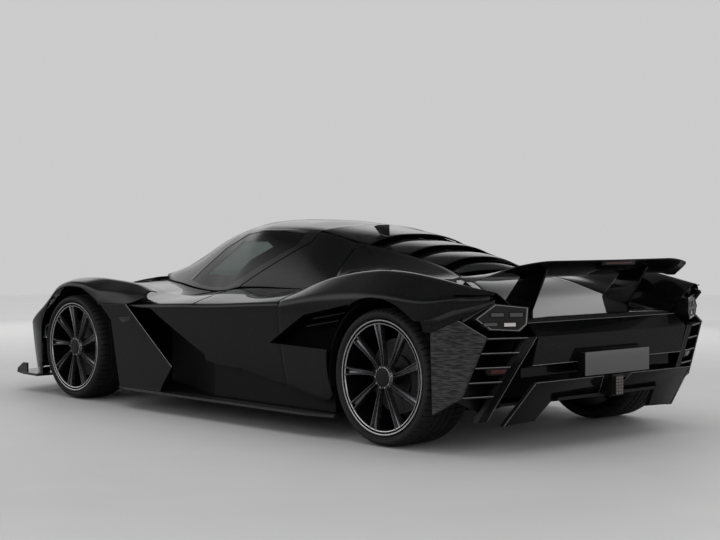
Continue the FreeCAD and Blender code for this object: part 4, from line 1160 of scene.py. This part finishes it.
# %% Roof frame strips
STRIP = [(-215, 1058), (-20, 1070), (200, 1071), (432, 1051), (645, 968), (935, 755), (985, 752), (800, 870),
         (620, 985), (430, 1068), (200, 1082), (-20, 1082), (-250, 1070)]
strip_source = shell("strip_source", bubble_grid(-1.2), 1.5, 0)
strips = [cut(copied("strip", strip_source), tool, operation="INTERSECT") for tool in side_tools(STRIP, 150.0)]
removed(strip_source)
dressed(merged("roof_frame_strips", *strips), carbon, "canopy")
print("roof frame strips:", len(strips))

# %% [markdown]
# The wing is a single curved blade. Its trailing edge kicks up, and its ends turn down in bare
# carbon. One wing section is scaled and placed at many stations across the car, which gives a
# true aerofoil everywhere. Columns: y, leading edge x and z, trailing edge x and z.

# %% Rear wing
WING = [
    (0, -1735, 846, -2163, 931),
    (458, -1748, 848, -2120, 931),
    (686, -1790, 850, -2077, 908),
    (812, -1818, 852, -1918, 834),
]
WING_PROFILE = [
    (0.0, 0.0), (0.015, 4.0), (0.06, 6.5), (0.2, 7.0), (0.45, 4.0), (0.7, 1.5), (0.9, 0.5), (1.0, 0.0),
    (1.0, -7.0), (0.9, -9.0), (0.7, -15.0), (0.45, -21.0), (0.2, -19.0), (0.06, -13.0), (0.012, -7.0),
]
WING_SAG = 12.0
WING_TIP_Y = 690.0
WING_END_Y = 812


def wing_rings(first_y, last_y, count):
    """Wing sections at places across the car, thinner where the chord is shorter."""
    ys = np.linspace(first_y, last_y, count)
    shape = through([(row[0], row[1:]) for row in WING], np.abs(ys))
    rings = []
    for y, (x0, z0, x1, z1) in zip(ys, shape):
        chord = abs(x1 - x0) / 430.0
        ring = []
        for along, height in WING_PROFILE:
            sag = WING_SAG * 4 * along * (1 - along) * chord
            rise = height * (0.4 + 0.6 * chord) - sag
            ring.append((x0 + (x1 - x0) * along, y, z0 + (z1 - z0) * along + rise))
        rings.append(ring)
    return rings


blade = from_rings("wing_blade", wing_rings(-WING_TIP_Y, WING_TIP_Y, 61))
dressed(blade, paint, "chassis", ["rear_wing"])
for side, sign in SIDES.items():
    tip = from_rings("wing_tip_" + side, wing_rings(sign * WING_TIP_Y, sign * WING_END_Y, 12))
    dressed(tip, carbon, "chassis")
print("wing:", 2 * WING_END_Y, "mm across")

# %% [markdown]
# Some panels meet in a line too fine to model as a gap between two shells. Such a seam is a thin
# dark thread laid on the surface, which reads as a shadow. Columns: name, body, half width, line.

# %% Seams
SEAMS = [
    ("door_seam", "chassis", 1.8,
     [(223, 610, 727), (166, 749, 708), (131, 841, 692), (128, 917, 671), (118, 975, 655)]),
    ("quarter_seam", "chassis", 1.6, [(-704, 395, 988), (-753, 410, 961), (-806, 431, 932)]),
    ("cover_seam", "engine_lid", 1.6, [(-572, 330, 1045), (-608, 350, 1031.5), (-643, 369, 1018)]),
]
for name, body, half_width, line in SEAMS:
    on_both_sides(wire(name, line, half_width), duct_and_shade, body)
print("seams a side:", len(SEAMS))

# %% [markdown]
# Two raked pylons carry the wing, thick plates whose edges are rolled. The high brake light is a
# strip of red lens in a satin frame under the wing's trailing edge, and a small side marker sits
# in each fender.

# %% Pylons, brake strip and side markers
PYLON = [(-1739, 712), (-1912, 662), (-2036, 886), (-1868, 858)]
for side, sign in SIDES.items():
    face = [(x, sign * (384 + (z - 712) * 0.08), z) for x, z in PYLON]
    pylon = softened(prism("wing_pylon_" + side, face, (0, sign * 18, 0)), 5)
    dressed(pylon, paint, "chassis", ["wing_pylons"])
STRIP_FRAME = [(-2161, 924), (-2154, 903), (-2136, 905), (-2138, 924)]
strip_frame = softened(side_prism("brake_strip_frame", STRIP_FRAME, -134, 134), 2)
dressed(strip_frame, satin, "chassis")
BRAKE_STRIP = [(-2162, 918), (-2157, 909), (-2150, 909), (-2150, 918)]
dressed(side_prism("wing_brake_strip", BRAKE_STRIP, -108, 108), red_lens, "chassis")

SIDE_MARKER = [(846, 541), (713, 556), (722, 534), (796, 514)]
marker = side_prism("side_marker", SIDE_MARKER, 988, 995)
on_both_sides(softened(marker, 1.0), smoked, "chassis")
print("pylons lean", round(PYLON[1][0] - PYLON[2][0]), "mm back")

# %% [markdown]
# A rim is turned and forged: a barrel with a rolled lip, nine slim spokes that sweep a little and
# split into two ribs with a groove between them, and a centre cap ringed by small bolts. The
# spoke is drawn as a row of cross-sections from the hub out, so that its ribs flow into the lip.

# %% Wheels: spokes
SPOKES = 9
# Columns: place across the spoke as a share of its half width, depth under the spoke's face in mm
SPOKE_SECTION = [
    (-1.0, 30), (-1.0, 10), (-0.94, 3.5), (-0.82, 0.6), (-0.68, 0.6), (-0.55, 4), (-0.42, 17), (0.0, 20),
    (0.42, 17), (0.55, 4), (0.68, 0.6), (0.82, 0.6), (0.94, 3.5), (1.0, 10), (1.0, 30),
]
# Columns: share of the reach, sweep in degrees, half width, face depth behind the rim's face
SPOKE_PATH = [(0.17, 0.0, 8.5, 20.0), (0.30, 1.0, 9.5, 22.0), (0.60, 4.5, 14.0, 17.0),
              (0.86, 6.4, 20.0, 11.0), (1.0, 7.0, 26.0, 9.0)]


def turned(name, x, z, profile, count=72):
    """A closed (radius, y) profile turned about an axle."""
    rings = []
    for k in range(count):
        a = 2 * pi * k / count
        rings.append([(x + r * cos(a), y, z + r * sin(a)) for r, y in profile])
    return from_rings(name, rings + rings[:1], capped=False, weld=0.01)


def make_spoke(x, z, reach, face_y, turn):
    """One spoke: its cross-sections set out along a swept path."""
    rings = []
    for share, sweep, half, depth in through([(row[0], row) for row in SPOKE_PATH], np.linspace(0.17, 1.0, 14)):
        a = radians(sweep + turn)
        out, aside = (sin(a), cos(a)), (cos(a), -sin(a))
        ring = []
        for across, down in SPOKE_SECTION:
            px = x + out[0] * share * reach + aside[0] * across * half
            pz = z + out[1] * share * reach + aside[1] * across * half
            ring.append((px, face_y - depth - down, pz))
        rings.append(ring)
    return from_rings("spoke", rings)


print("spokes:", SPOKES, "points in a section:", len(SPOKE_SECTION))

# %% [markdown]
# The barrel and hub are (radius, y) profiles turned about the axle. The barrel is kept apart from
# the spokes and given the darkest matt black, painted shade for the inside of the wheel, and only the lip at its edge
# is bright metal.

# %% Wheels: rim, bolts and brake disc
def make_rim(name, x, z, rim_r, width, face_y):
    """The spokes with their hub, and the barrel."""
    inner = face_y - width
    seat = rim_r - 15.0
    barrel = turned("barrel", x, z, [
        (seat, inner + 22), (rim_r - 1, inner + 21), (rim_r - 1, inner + 11), (seat - 8, inner + 10),
        (seat - 20, inner + 60), (seat - 20, face_y - 52), (seat - 10, face_y - 20), (seat - 8, face_y - 12),
        (rim_r - 8, face_y - 9.5), (rim_r - 1.5, face_y - 10.5), (rim_r - 0.6, face_y - 20), (seat, face_y - 21.7),
    ])
    spokes = [make_spoke(x, z, seat - 3, face_y, 360.0 * k / SPOKES) for k in range(SPOKES)]
    hub = turned("hub", x, z, [(34, face_y - 62), (60, face_y - 60), (62, face_y - 34), (54, face_y - 24),
                               (47, face_y - 22), (46, face_y - 30), (34, face_y - 31)])
    return merged(name, hub, *spokes), barrel


def row_of_pegs(name, x, z, radius, peg_r, y0, y1, count, sides=8):
    pegs = []
    for k in range(count):
        a = 2 * pi * k / count
        outline = disc_outline(x + radius * cos(a), z + radius * sin(a), peg_r, sides)
        pegs.append(side_prism("peg", outline, y0, y1))
    return merged(name, *pegs)


# Columns: axle, its x and z, rim radius, tyre radius, width, y of the rim's face
WHEELS = [
    ("front", front_x, FRONT_AXLE.z, 282.0, 331.0, 255.0, 962.0),
    ("rear", rear_x, REAR_AXLE.z, 291.0, 346.0, 315.0, 968.0),
]
# Profiles as (radius, y): of the two lips from the rim's edge, of the cap from the axle
INNER_LIP = [(-26, -14.5), (-24.5, -11.3), (-20.5, -10.2), (-20.5, -13.5)]
LIP = [(-9.5, -9.0), (-7.0, -8.1), (-2.5, -8.3), (-1.2, -10.4), (-8.5, -10.6)]
CAP = [(0.5, -40), (44, -40), (45, -23), (42, -20.3), (30, -18.6), (0.5, -18.2)]
DISC_FACE = 838.0
DISC_R = 189.5
wheel_pieces = []
for axle, x, z, rim_r, tyre_r, width, face_y in WHEELS:
    rim, barrel = make_rim("rim_skin_" + axle, x, z, rim_r, width, face_y)
    barrel.name = "rim_barrel_" + axle
    inner_lip = turned("rim_inner_lip_" + axle, x, z, [(rim_r + r, face_y + y) for r, y in INNER_LIP], 96)
    lip = turned("rim_lip_" + axle, x, z, [(rim_r + r, face_y + y) for r, y in LIP], 96)
    cap = turned("wheel_cap_" + axle, x, z, [(r, face_y + y) for r, y in CAP], 48)
    bolts = row_of_pegs("rim_bolts_" + axle, x, z, 53.5, 4.2, face_y - 30, face_y - 20.6, 10)
    disc = turned("brake_disc_" + axle, x, z, [
        (31, DISC_FACE - 31.7), (DISC_R, DISC_FACE - 31.7), (DISC_R, DISC_FACE - 0.3), (112, DISC_FACE - 0.3),
        (110, DISC_FACE + 14), (48, DISC_FACE + 14), (48, face_y - 42), (31, face_y - 42)], 96)
    holes = merged("disc_holes_" + axle, *[row_of_pegs("row", x, z, r, 3.6, DISC_FACE - 2, DISC_FACE + 0.1, 24)
                                           for r in (126, 146, 166)])
    wheel_pieces += [(axle, rim, gunmetal, "rim_metal", "rim_"), (axle, lip, lip_metal, "rim_metal", ""),
                     (axle, barrel, duct_and_shade, "rim_metal", ""), (axle, inner_lip, lip_metal, "rim_metal", ""),
                     (axle, cap, satin, "rim_metal", ""), (axle, bolts, lip_metal, "steel", ""),
                     (axle, disc, steel, "steel", ""), (axle, holes, plastic, "steel", "")]
print("brake discs:", round(2 * DISC_R), "mm across")

# %% [markdown]
# The tyre is a ring of profiles round the axle. The grooves that run round it are in the profile
# itself. The slots across the shoulders come from lowering the tread for two of the four steps of
# each pitch, which leaves real blocks that show on the tyre's outline from behind.

# %% Wheels: tread profile
PITCHES = 62
GROOVE = 6.5
SLOT_STEPS = [(0.0, False), (0.03, True), (0.17, True), (0.20, False)]


def tyre_profile(rim_r, radius, width, slotted):
    """(radius, y from the middle) from bead to bead; slotted lowers the shoulder blocks."""
    half = width / 2
    side = [(rim_r - 12, half - 23), (rim_r - 1, half - 22.4), (rim_r + 5, half - 14), (rim_r + 9, half - 5),
            (rim_r + 14, half - 1.5), (rim_r + 17, half - 3.5), (radius - 32, half - 1), (radius - 22, half - 2.5)]
    low = GROOVE if slotted else 0.0
    mid_low = GROOVE * 0.6 if slotted else 0.0
    shoulder = [(radius - 13 - low * 0.6, half - 9), (radius - 6.5 - low, half - 20), (radius - 2.6 - low, half - 38)]
    tread = []
    ribs = [(half - 42, half * 0.42), (half * 0.42 - 9, half * 0.14), (half * 0.14 - 9, 0.0)]
    for index, (outer, inner) in enumerate(ribs):
        drop = (low, mid_low, 0.0)[index]
        crown = 1.6 * (1 - index / 2)
        tread += [(radius - crown - drop, outer - 1), (radius - crown * 0.7 - drop, inner + 1)]
        if index < 2:
            tread += [(radius - GROOVE - 1, inner - 1), (radius - GROOVE - 1, inner - 8)]
    outside = side + shoulder + tread
    inside = [(rim_r - 12, half - 43), (radius - 31, half - 18), (radius - 17, half - 52)]
    profile = [(r, -y) for r, y in outside] + outside[::-1]
    return profile + inside + [(r, -y) for r, y in reversed(inside)]


print("pitches round a tyre:", PITCHES)


# %% Wheels: tyres
def make_tyre(name, x, z, rim_r, radius, width, face_y):
    """The profiles set out round the axle, plain and slotted in turn."""
    rings = []
    middle = face_y - width / 2
    for pitch in range(PITCHES):
        for step, slotted in SLOT_STEPS:
            a = 2 * pi * (pitch + step) / PITCHES
            rings.append([(x + r * cos(a), middle + y, z + r * sin(a))
                          for r, y in tyre_profile(rim_r, radius, width, slotted)])
    return from_rings(name, rings + rings[:1], capped=False, weld=0.005)


for axle, x, z, rim_r, tyre_r, width, face_y in WHEELS:
    tyre = make_tyre("tyre_skin_" + axle, x, z, rim_r, tyre_r - 0.2, width, face_y)
    wheel_pieces.append((axle, tyre, rubber, "rubber", "tyre_"))
for axle, piece, finish, slot, node in wheel_pieces:
    base = piece.name
    for side, each in (("left", piece), ("right", mirrored(piece, base + "_right"))):
        each.name = base + "_" + side
        stands_for = [node + axle + "_" + side] if node else []
        dressed(each, finish, "wheel_" + axle + "_" + side, stands_for)
print("wheel pieces:", len(wheel_pieces) * 2)

# %% [markdown]
# Each caliper straddles the front of its disc. It is a short arc swept round the axle with
# rounded edges, and it rides the upright, so it steers but never spins.

# %% Calipers
for axle, x, z, rim_r, *_ in WHEELS:
    angles = np.radians(np.linspace(158, 202, 9))
    section = [(150, 792), (150, 866), (198, 870), (214, 862), (216, 790), (196, 786)]
    rings = [[(x + r * cos(a), y, z + r * sin(a)) for r, y in section] for a in angles]
    caliper = softened(from_rings("caliper_" + axle, rings), 4)
    for side, each in (("left", caliper), ("right", mirrored(caliper, "caliper_twin"))):
        each.name = "caliper_" + axle + "_" + side
        body = "knuckle_" + side if axle == "front" else "chassis"
        dressed(each, caliper_finish, body)
print("calipers: 4")

# %% [markdown]
# Behind each rear wheel the tail is open slats between a carbon corner panel and a raked pillar.
# The slats themselves are CAD. Here each gets a thin bright strip on its edge, a painted highlight that picks it out.
# Both ends of a strip come from one helper that reads a raked line at a height, so every slat fits.

# %% Slat edge highlights
PANEL_EDGE = [(-2053, 861, 575), (-1936, 911, 279)]
PILLAR_OUTER = [(-2133, 668, 572), (-1917, 784, 152)]
SLAT_TOPS = [571, 500, 429, 357, 285]


def between(ends, z):
    (x0, y0, z0), (x1, y1, z1) = ends
    t = (z - z0) / (z1 - z0)
    return np.array([x0 + (x1 - x0) * t, y0 + (y1 - y0) * t, z])


def bar_between(name, start, stop, down, back=(3.0, 0, 0)):
    """A straight strip from start to stop whose face looks rearwards: down is its height."""
    start, stop = np.array(start, float), np.array(stop, float)
    drop = np.array([0, 0, -down], float)
    return prism(name, [start, stop, stop + drop, start + drop], back)


PROUD = [-1.2, 0, -0.4]
# painted highlights: one thin bright strip along each slat's edge
edges = [bar_between("edge", between(PANEL_EDGE, z) + PROUD, between(PILLAR_OUTER, z) + PROUD, 3.0, (4.0, 0, 0))
         for z in SLAT_TOPS]
print("slats a side:", len(edges))
on_both_sides(merged("slat_edges", *edges), highlight_finish, "chassis")


# %% [markdown]
# Under the third slat a dark frame holds a red reflector. Its corners are given as shares of the
# way from the panel to the pillar, so the frame leans and tapers with the slats.

# %% Reflectors
def on_slats(share, z):
    """A place on the slats' rear face: share 0 at the panel, 1 at the pillar."""
    return between(PANEL_EDGE, z) * (1 - share) + between(PILLAR_OUTER, z) * share


REFLECTOR_FRAME = [(0.36, 421), (0.97, 421), (0.97, 388), (0.50, 388), (0.36, 402)]
REFLECTOR_LENS = [(0.47, 415), (0.92, 415), (0.92, 397), (0.53, 397)]
pointed = prism("reflector_frame", [on_slats(*p) + [-2.0, 0, 0] for p in REFLECTOR_FRAME], (26, 0, 0))
on_both_sides(softened(pointed, 2), satin, "chassis")
reflector = prism("reflector", [on_slats(*p) + [-4.0, 0, 0] for p in REFLECTOR_LENS], (6, 0, 0))
on_both_sides(softened(reflector, 1), red_lens, "chassis")
print("reflector is", round(np.linalg.norm(on_slats(0.92, 415) - on_slats(0.47, 415))), "mm wide")

# %% [markdown]
# The tail lamp is a dark pod whose face looks outwards and back. Round it runs a fine light line, a painted
# highlight.
# All its pieces are drawn as seen from behind and laid on the slanting face by one helper, which
# gives each point its place along the car.

# %% Tail lamp highlight line
LAMP = [(900, 660), (810, 733), (648, 713), (653, 631), (688, 597), (832, 606)]


def on_lamp(y, z, out=0.0):
    return (-2000 - (907 - y) * 0.468 - out, y, z)


def lamp_panel(name, outline, out, deep):
    """A flat piece on the lamp's face, standing out by a distance."""
    return prism(name, [on_lamp(y, z, out) for y, z in outline], (deep, 0, 0))


def shrunk(outline, by):
    """The outline drawn in towards its middle by a distance."""
    centre = np.mean(outline, axis=0)
    return [tuple(np.array(p) + (centre - p) * by / np.linalg.norm(centre - p)) for p in outline]


lamp_highlight_line = lamp_panel("tail_lamp_line", shrunk(LAMP, 6), 2.2, 6)
cut(lamp_highlight_line, lamp_panel("line_tool", shrunk(LAMP, 11), 20, 60))
on_both_sides(lamp_highlight_line, highlight_finish, "chassis")
print("tail lamp:", LAMP[0][0] - LAMP[2][0], "mm across")

# %% [markdown]
# Two pairs of framed bars stand behind the smoked lens. Each frame is the bar's own outline grown
# by a few millimetres, with the bar cut out of it, so frame and light always fit. The lowest
# inner bar is the one that glows. Columns: outer y, inner y, top z, bottom z.

# %% Tail lamp bars
FRAME_BORDER = 5
BARS = [(826, 766, 688, 671), (738, 677, 687, 669), (857, 796, 642, 627), (765, 710, 640, 623)]
frames, lights = [], []
for outer, inner, top, bottom in BARS:
    outline, grown = [[(outer + g, top + g), (inner - g, top + g), (inner - g, bottom - g), (outer + g, bottom - g)]
                      for g in (0, FRAME_BORDER)]
    frames.append(cut(lamp_panel("lamp_frame", grown, 3.2, 6), lamp_panel("frame_tool", outline, 20, 60)))
    lights.append(lamp_panel("lamp_bar", outline, 1.6, 4))
bright = lights.pop()
on_both_sides(merged("tail_lamp_frames", *frames), satin, "chassis")
on_both_sides(merged("tail_lamp_bars", *lights), lamp_bar, "chassis")
bright.name = "tail_lamp_inner_bar"
on_both_sides(bright, lamp_bright, "chassis")
LAMP_BLADE = [(-1944, 918, 641), (-2077, 838, 737), (-2071, 832, 752), (-1938, 912, 662)]
on_both_sides(softened(prism("lamp_blade", LAMP_BLADE, (16, -6, 0)), 2), carbon, "chassis")
print("bars a lamp:", len(BARS))

# %% [markdown]
# The number plate is a blank grey panel, 520 by 116 mm, on a dark holder that stands proud of the
# fascia. Below it the rain light is a small grid of cells: each is a prism of its own, since a
# texture would look flat from the side. Two bright lines, painted highlights, mark the fascia's folded edges.

# %% Plate, rain light and fascia edge highlights
def plate_panel(name, half, top, bottom, out, deep):
    outline = [(-2120.5 - out, y, z) for y, z in ((-half, top), (half, top), (half, bottom), (-half, bottom))]
    return prism(name, outline, (deep, 0, 0))


dressed(softened(plate_panel("plate_holder", 256, 472, 364, 31.0, 33.0), 2.0), satin, "chassis")
dressed(softened(plate_panel("number_plate", 260, 476, 360, 33.5, 2.0), 0.5), plate_finish, "chassis")
CELL = [(-7, -5), (7, -5), (7, 5), (-7, 5)]
cells = [prism("cell", [(-2166, middle_y + y, middle_z + z) for y, z in CELL], (3, 0, 0))
         for middle_z in range(260, 336, 15) for middle_y in (-20, 0, 20)]
print("rain light cells:", len(cells))
dressed(merged("rain_light_cells", *cells), red_bright, "chassis")

# Columns: x, z, half length, height
FASCIA_HIGHLIGHTS = [(-2067.5, 633.0, 598, 7.0), (-2106.5, 431, 600, 2.5)]
lines = [bar_between("line", (x, -half, z), (x, half, z), tall) for x, z, half, tall in FASCIA_HIGHLIGHTS]
dressed(merged("fascia_edges", *lines), highlight_finish, "chassis")

# %% [markdown]
# The diffuser ends in a raked frame. Two black plates fill it on either side of a notch for the
# rain light, and a fine light line, a painted highlight, follows the frame, the pillar and the corner panel's edge.

# %% Diffuser plates and edge highlights
def on_rake(y, z, out=0.0):
    return (-2150 + (352 - z) * 0.72 - out, y, z)


FILLER_OUTLINE = [(622, 348), (114, 348), (58, 246), (418, 246), (467, 141), (676, 134)]
filler = prism("diffuser_plate", [on_rake(y, z, 1.5) for y, z in FILLER_OUTLINE], (15, 0, 0))
on_both_sides(softened(filler, 1.0), paint, "chassis")
RAKE_LINE = [(680, 134), (627, 351), (113, 351), (57, 247), (0, 247)]
EDGE_HIGHLIGHTS = [
    [on_rake(y, z, 2.5) for y, z in RAKE_LINE],
    [(-2143, 613, 571), (-2060, 664, 405), (-2024, 680, 337), (-1928, 729, 153)],
    [(-1926, 931, 651), (-2056, 876, 576)],
    [(763, 997.5, 626), (314, 982, 279)],
]
edge_highlights = merged("body_edge_lines", *[wire("line", line) for line in EDGE_HIGHLIGHTS])
on_both_sides(edge_highlights, highlight_finish, "chassis")
print("edge lines a side:", len(EDGE_HIGHLIGHTS))

# %% [markdown]
# The deck's rear edge stands a little above the fascia. On the real car a folded flange closes
# that step; here it is one bar across the tail, so that no daylight shows through.

# %% Deck closing
DECK_CLOSING = [(-2042, 592), (-2042, 642), (-2036, 644), (-2036, 592)]
dressed(side_prism("deck_closing", DECK_CLOSING, -590, 590), satin, "chassis")
print("deck closing:", DECK_CLOSING[1][1] - DECK_CLOSING[0][1], "mm high")

# %% [markdown]
# Two seats fill the low tub. A seat is a hard carbon shell with loose pads on it. The pads are
# hardly seen through the tinted glass, so a formula stands in for a cloth simulation: it crowns
# each pad, draws its edges in round and presses the seams in across its upper face.

# %% Seat pads
def cushion(name, centre, size, lean, rows=3):
    """A crowned pad with seams across it; size is length, width, depth and lean tips it back."""
    length, width, deep = size
    count_u, count_v = 24, 16
    points, faces = [], []
    for layer in (1, -1):
        for i in range(count_u + 1):
            for j in range(count_v + 1):
                u, v = i / count_u * 2 - 1, j / count_v * 2 - 1
                swell = (1 - abs(u) ** 5) ** 0.5 * (1 - abs(v) ** 5) ** 0.5
                seam = 0.0
                for k in range(1, rows):
                    seam += np.exp(-((u - (2 * k / rows - 1)) / 0.035) ** 2)
                height = deep / 2 * swell * (1 - 0.35 * seam * (layer > 0)) * layer
                points.append((u * length / 2, v * width / 2, height))
    stride = (count_u + 1) * (count_v + 1)
    for i in range(count_u):
        for j in range(count_v):
            a = i * (count_v + 1) + j
            quad = (a, a + 1, a + count_v + 2, a + count_v + 1)
            faces += [quad, tuple(stride + k for k in reversed(quad))]
    c, s = cos(lean), sin(lean)
    placed = [(centre[0] + u * c - h * s, centre[1] + v, centre[2] + u * s + h * c) for u, v, h in points]
    return outward(mesh_object(name, placed, faces), weld=0.4)


for side, sign in SIDES.items():
    middle = sign * 225
    base = cushion("seat_base_" + side, (250, middle, 300), (430, 300, 70), radians(4))
    back = cushion("seat_back_" + side, (-100, middle, 560), (560, 300, 64), radians(113), 4)
    head = cushion("seat_head_" + side, (-212, middle, 806), (120, 190, 60), radians(113), 1)
    for pad in (base, back, head):
        dressed(pad, suede, "chassis")
print("seat pads: 6, backs", round(len(back.data.polygons)), "faces each")

# %% [markdown]
# What is left of the CAD pieces keeps its own shape and only needs its finish. A bevel modifier
# rounds their edges a little without touching their points. It needs the faces joined first, so
# a weld comes before it.

# %% Finishes of the CAD pieces
NODE_FINISH = {
    carbon: ["sill_blades", "front_splitter"],
    row_carbon: ["rear_corner_panels"],
    paint: ["front_vanes", "tail_fascia"],
    duct_and_shade: ["side_intakes"],
    plastic: ["floor_pan", "dashboard", "radiators", "side_skirts"],
    satin: ["tail_grilles", "monocoque", "diffuser"],
    carbon_satin: ["seats"],
    smoked: ["tail_lamps", "headlamps", "rain_lamp"],
    suede: ["steering_wheel"],
    steel: ["front_suspension", "rear_suspension", "knuckle_left", "knuckle_right"],
    iron: ["engine_block"],
}
for finish, nodes in NODE_FINISH.items():
    for node in nodes:
        shown = frame["nodes"][node]
        shown.data.materials.clear()
        shown.data.materials.append(finish.material)
        if finish not in (smoked, suede, steel, iron):
            weld = shown.modifiers.new("weld", "WELD")
            weld.merge_threshold = 0.05 * MM
            edge = shown.modifiers.new("fine edge", "BEVEL")
            edge.width = 1.5 * MM
            edge.segments = 2
            edge.limit_method = "ANGLE"
            edge.angle_limit = radians(35)
print("CAD pieces finished:", sum(len(nodes) for nodes in NODE_FINISH.values()))

# %% [markdown]
# The camera stands to the left and behind, a little above the floor, as a person would crouch.
# Its place and lens come from matching the wheels and the symmetric points of the body.

# %% Camera
CAMERA_PLACE = (-6791.35, 6059.20, 1101.02)
CAMERA_YAW = -0.7461
CAMERA_PITCH = -0.0297
FOCAL_PIXELS = 1493.8
PICTURE_WIDTH = 720.0
camera_data = bpy.data.cameras.new("camera")
camera = bpy.data.objects.new("camera", camera_data)
bpy.context.scene.collection.objects.link(camera)
bpy.context.scene.camera = camera
camera.location = Vector((CAMERA_PLACE[0] + MID, CAMERA_PLACE[1], CAMERA_PLACE[2])) * MM
look = Vector((cos(CAMERA_YAW) * cos(CAMERA_PITCH), sin(CAMERA_YAW) * cos(CAMERA_PITCH), sin(CAMERA_PITCH)))
camera.rotation_euler = look.to_track_quat("-Z", "Y").to_euler()
camera_data.sensor_width = 36.0
camera_data.lens = FOCAL_PIXELS / PICTURE_WIDTH * camera_data.sensor_width
camera_data.clip_end = 100.0
print("lens:", round(camera_data.lens, 1), "mm")

# %% [markdown]
# The floor is pale to the camera, and darker in the paint, as a showroom's floor is. It is lit by
# the lamps near the car, where it has to hold the shadow. Further away it also glows a little,
# only for the camera, so that it runs into the background without a hard line.

# %% Floor
scene = bpy.context.scene
scene.view_settings.view_transform = "Standard"
FLOOR_HALF = 14.0
FLOOR_LIT = 3.5
floor_mesh = bpy.data.meshes.new("floor")
floor_mesh.from_pydata([(x * FLOOR_HALF, y * FLOOR_HALF, 0) for x, y in ((-1, -1), (1, -1), (1, 1), (-1, 1))],
                       [], [(0, 1, 2, 3)])
floor = object_of("floor", floor_mesh)
floor_finish = Finish("pale_floor", Roughness=0.55)
seen_floor = floor_finish.mix(floor_finish.noise(3.0, 3.0), grey(0.52), grey(0.56))
to_camera = floor_finish.node("ShaderNodeLightPath", output="Is Camera Ray")
floor_finish.feed("Base Color", floor_finish.mix(to_camera, grey(0.20), seen_floor))
x, y, z = floor_finish.parts_of(floor_finish.place())
away = (((x * x + y * y) ** 0.5 - FLOOR_LIT) / 6.0).held(0.0, 1.0)
floor_finish.feed("Emission Color", floor_finish.mix(away * to_camera, grey(0.0), grey(0.30)))
floor_finish.surface.inputs["Emission Strength"].default_value = 1.0
floor_mesh.materials.append(floor_finish.material)
print("floor:", 2 * FLOOR_HALF, "m square")

# %% [markdown]
# Black paint shows only what it reflects. The background is an even pale grey to the camera and
# through glass. What glossy rays find is a plain room instead: grey walls up to a third of the
# way, then a dark ceiling, which gives the roof and shoulders their soft bright band.

# %% Background
# Columns: height of the ray as the Z of its direction, grey level
ROOM_LEVELS = ((0.0, 0.16), (0.05, 0.24), (0.15, 0.75), (0.34, 0.78), (0.55, 0.06))
world = bpy.data.worlds.new("studio")
scene.world = world
world.use_nodes = True
sky = Bench(world.node_tree)


def ray_is(kind):
    return sky.node("ShaderNodeLightPath", output="Is " + kind + " Ray")


def backdrop(colour):
    return sky.node("ShaderNodeBackground", {}, {"Color": colour})


def either_of(share, first, second):
    return sky.node("ShaderNodeMixShader", {}, {0: share, 1: first, 2: second})


lit = sky.tree.nodes["Background"]
lit.inputs["Color"].default_value = grey(0.42)
lit.inputs["Strength"].default_value = 1.0
seen_directly = sky.node("ShaderNodeMath", {"operation": "MAXIMUM"}, {0: ray_is("Camera"), 1: ray_is("Transmission")})
height = sky.parts_of(sky.node("ShaderNodeTexCoord", output="Generated"))[2]
room = sky.node("ShaderNodeValToRGB", {"stops": [(place, grey(level)) for place, level in ROOM_LEVELS]}, {0: height})
plain = either_of(seen_directly, Signal(sky, lit.outputs[0]), backdrop(grey(0.60)))
shown = either_of(ray_is("Glossy"), plain, backdrop(room))
sky.tree.links.new(shown.socket, sky.tree.nodes["World Output"].inputs[0])
print("room levels:", len(ROOM_LEVELS))

# %% [markdown]
# The lamps are five large soft panels: one overhead, one along each side, one behind and one
# ahead. They are hidden from glossy rays, since their outlines in the paint would look like a
# studio and not like a calm room. Columns: name, place and target in metres, size, power.

# %% Lights
LIGHTS = [
    ("overhead", (0.0, 0.0, 5.0), (0, 0, 0), (11.0, 8.0), 240),
    ("left_wall", (-1.0, 7.5, 2.6), (0, 0, 0.8), (10.0, 2.6), 110),
    ("right_wall", (0.0, -7.5, 2.6), (0, 0, 0.8), (10.0, 2.6), 110),
    ("behind", (-8.0, 0.0, 2.4), (-1, 0, 0.6), (8.0, 2.6), 90),
    ("ahead", (8.0, 0.0, 2.4), (1, 0, 0.6), (8.0, 2.6), 90),
]
for name, place, target, size, power in LIGHTS:
    lamp_data = bpy.data.lights.new(name, "AREA")
    lamp_data.shape = "RECTANGLE"
    lamp_data.size, lamp_data.size_y = size
    lamp_data.energy = power
    lamp = bpy.data.objects.new(name, lamp_data)
    lamp.location = place
    lamp.rotation_euler = (Vector(target) - Vector(place)).to_track_quat("-Z", "Y").to_euler()
    lamp.visible_glossy = False
    scene.collection.objects.link(lamp)
print("lamps:", len(LIGHTS), "with", sum(light[4] for light in LIGHTS), "watts in all")
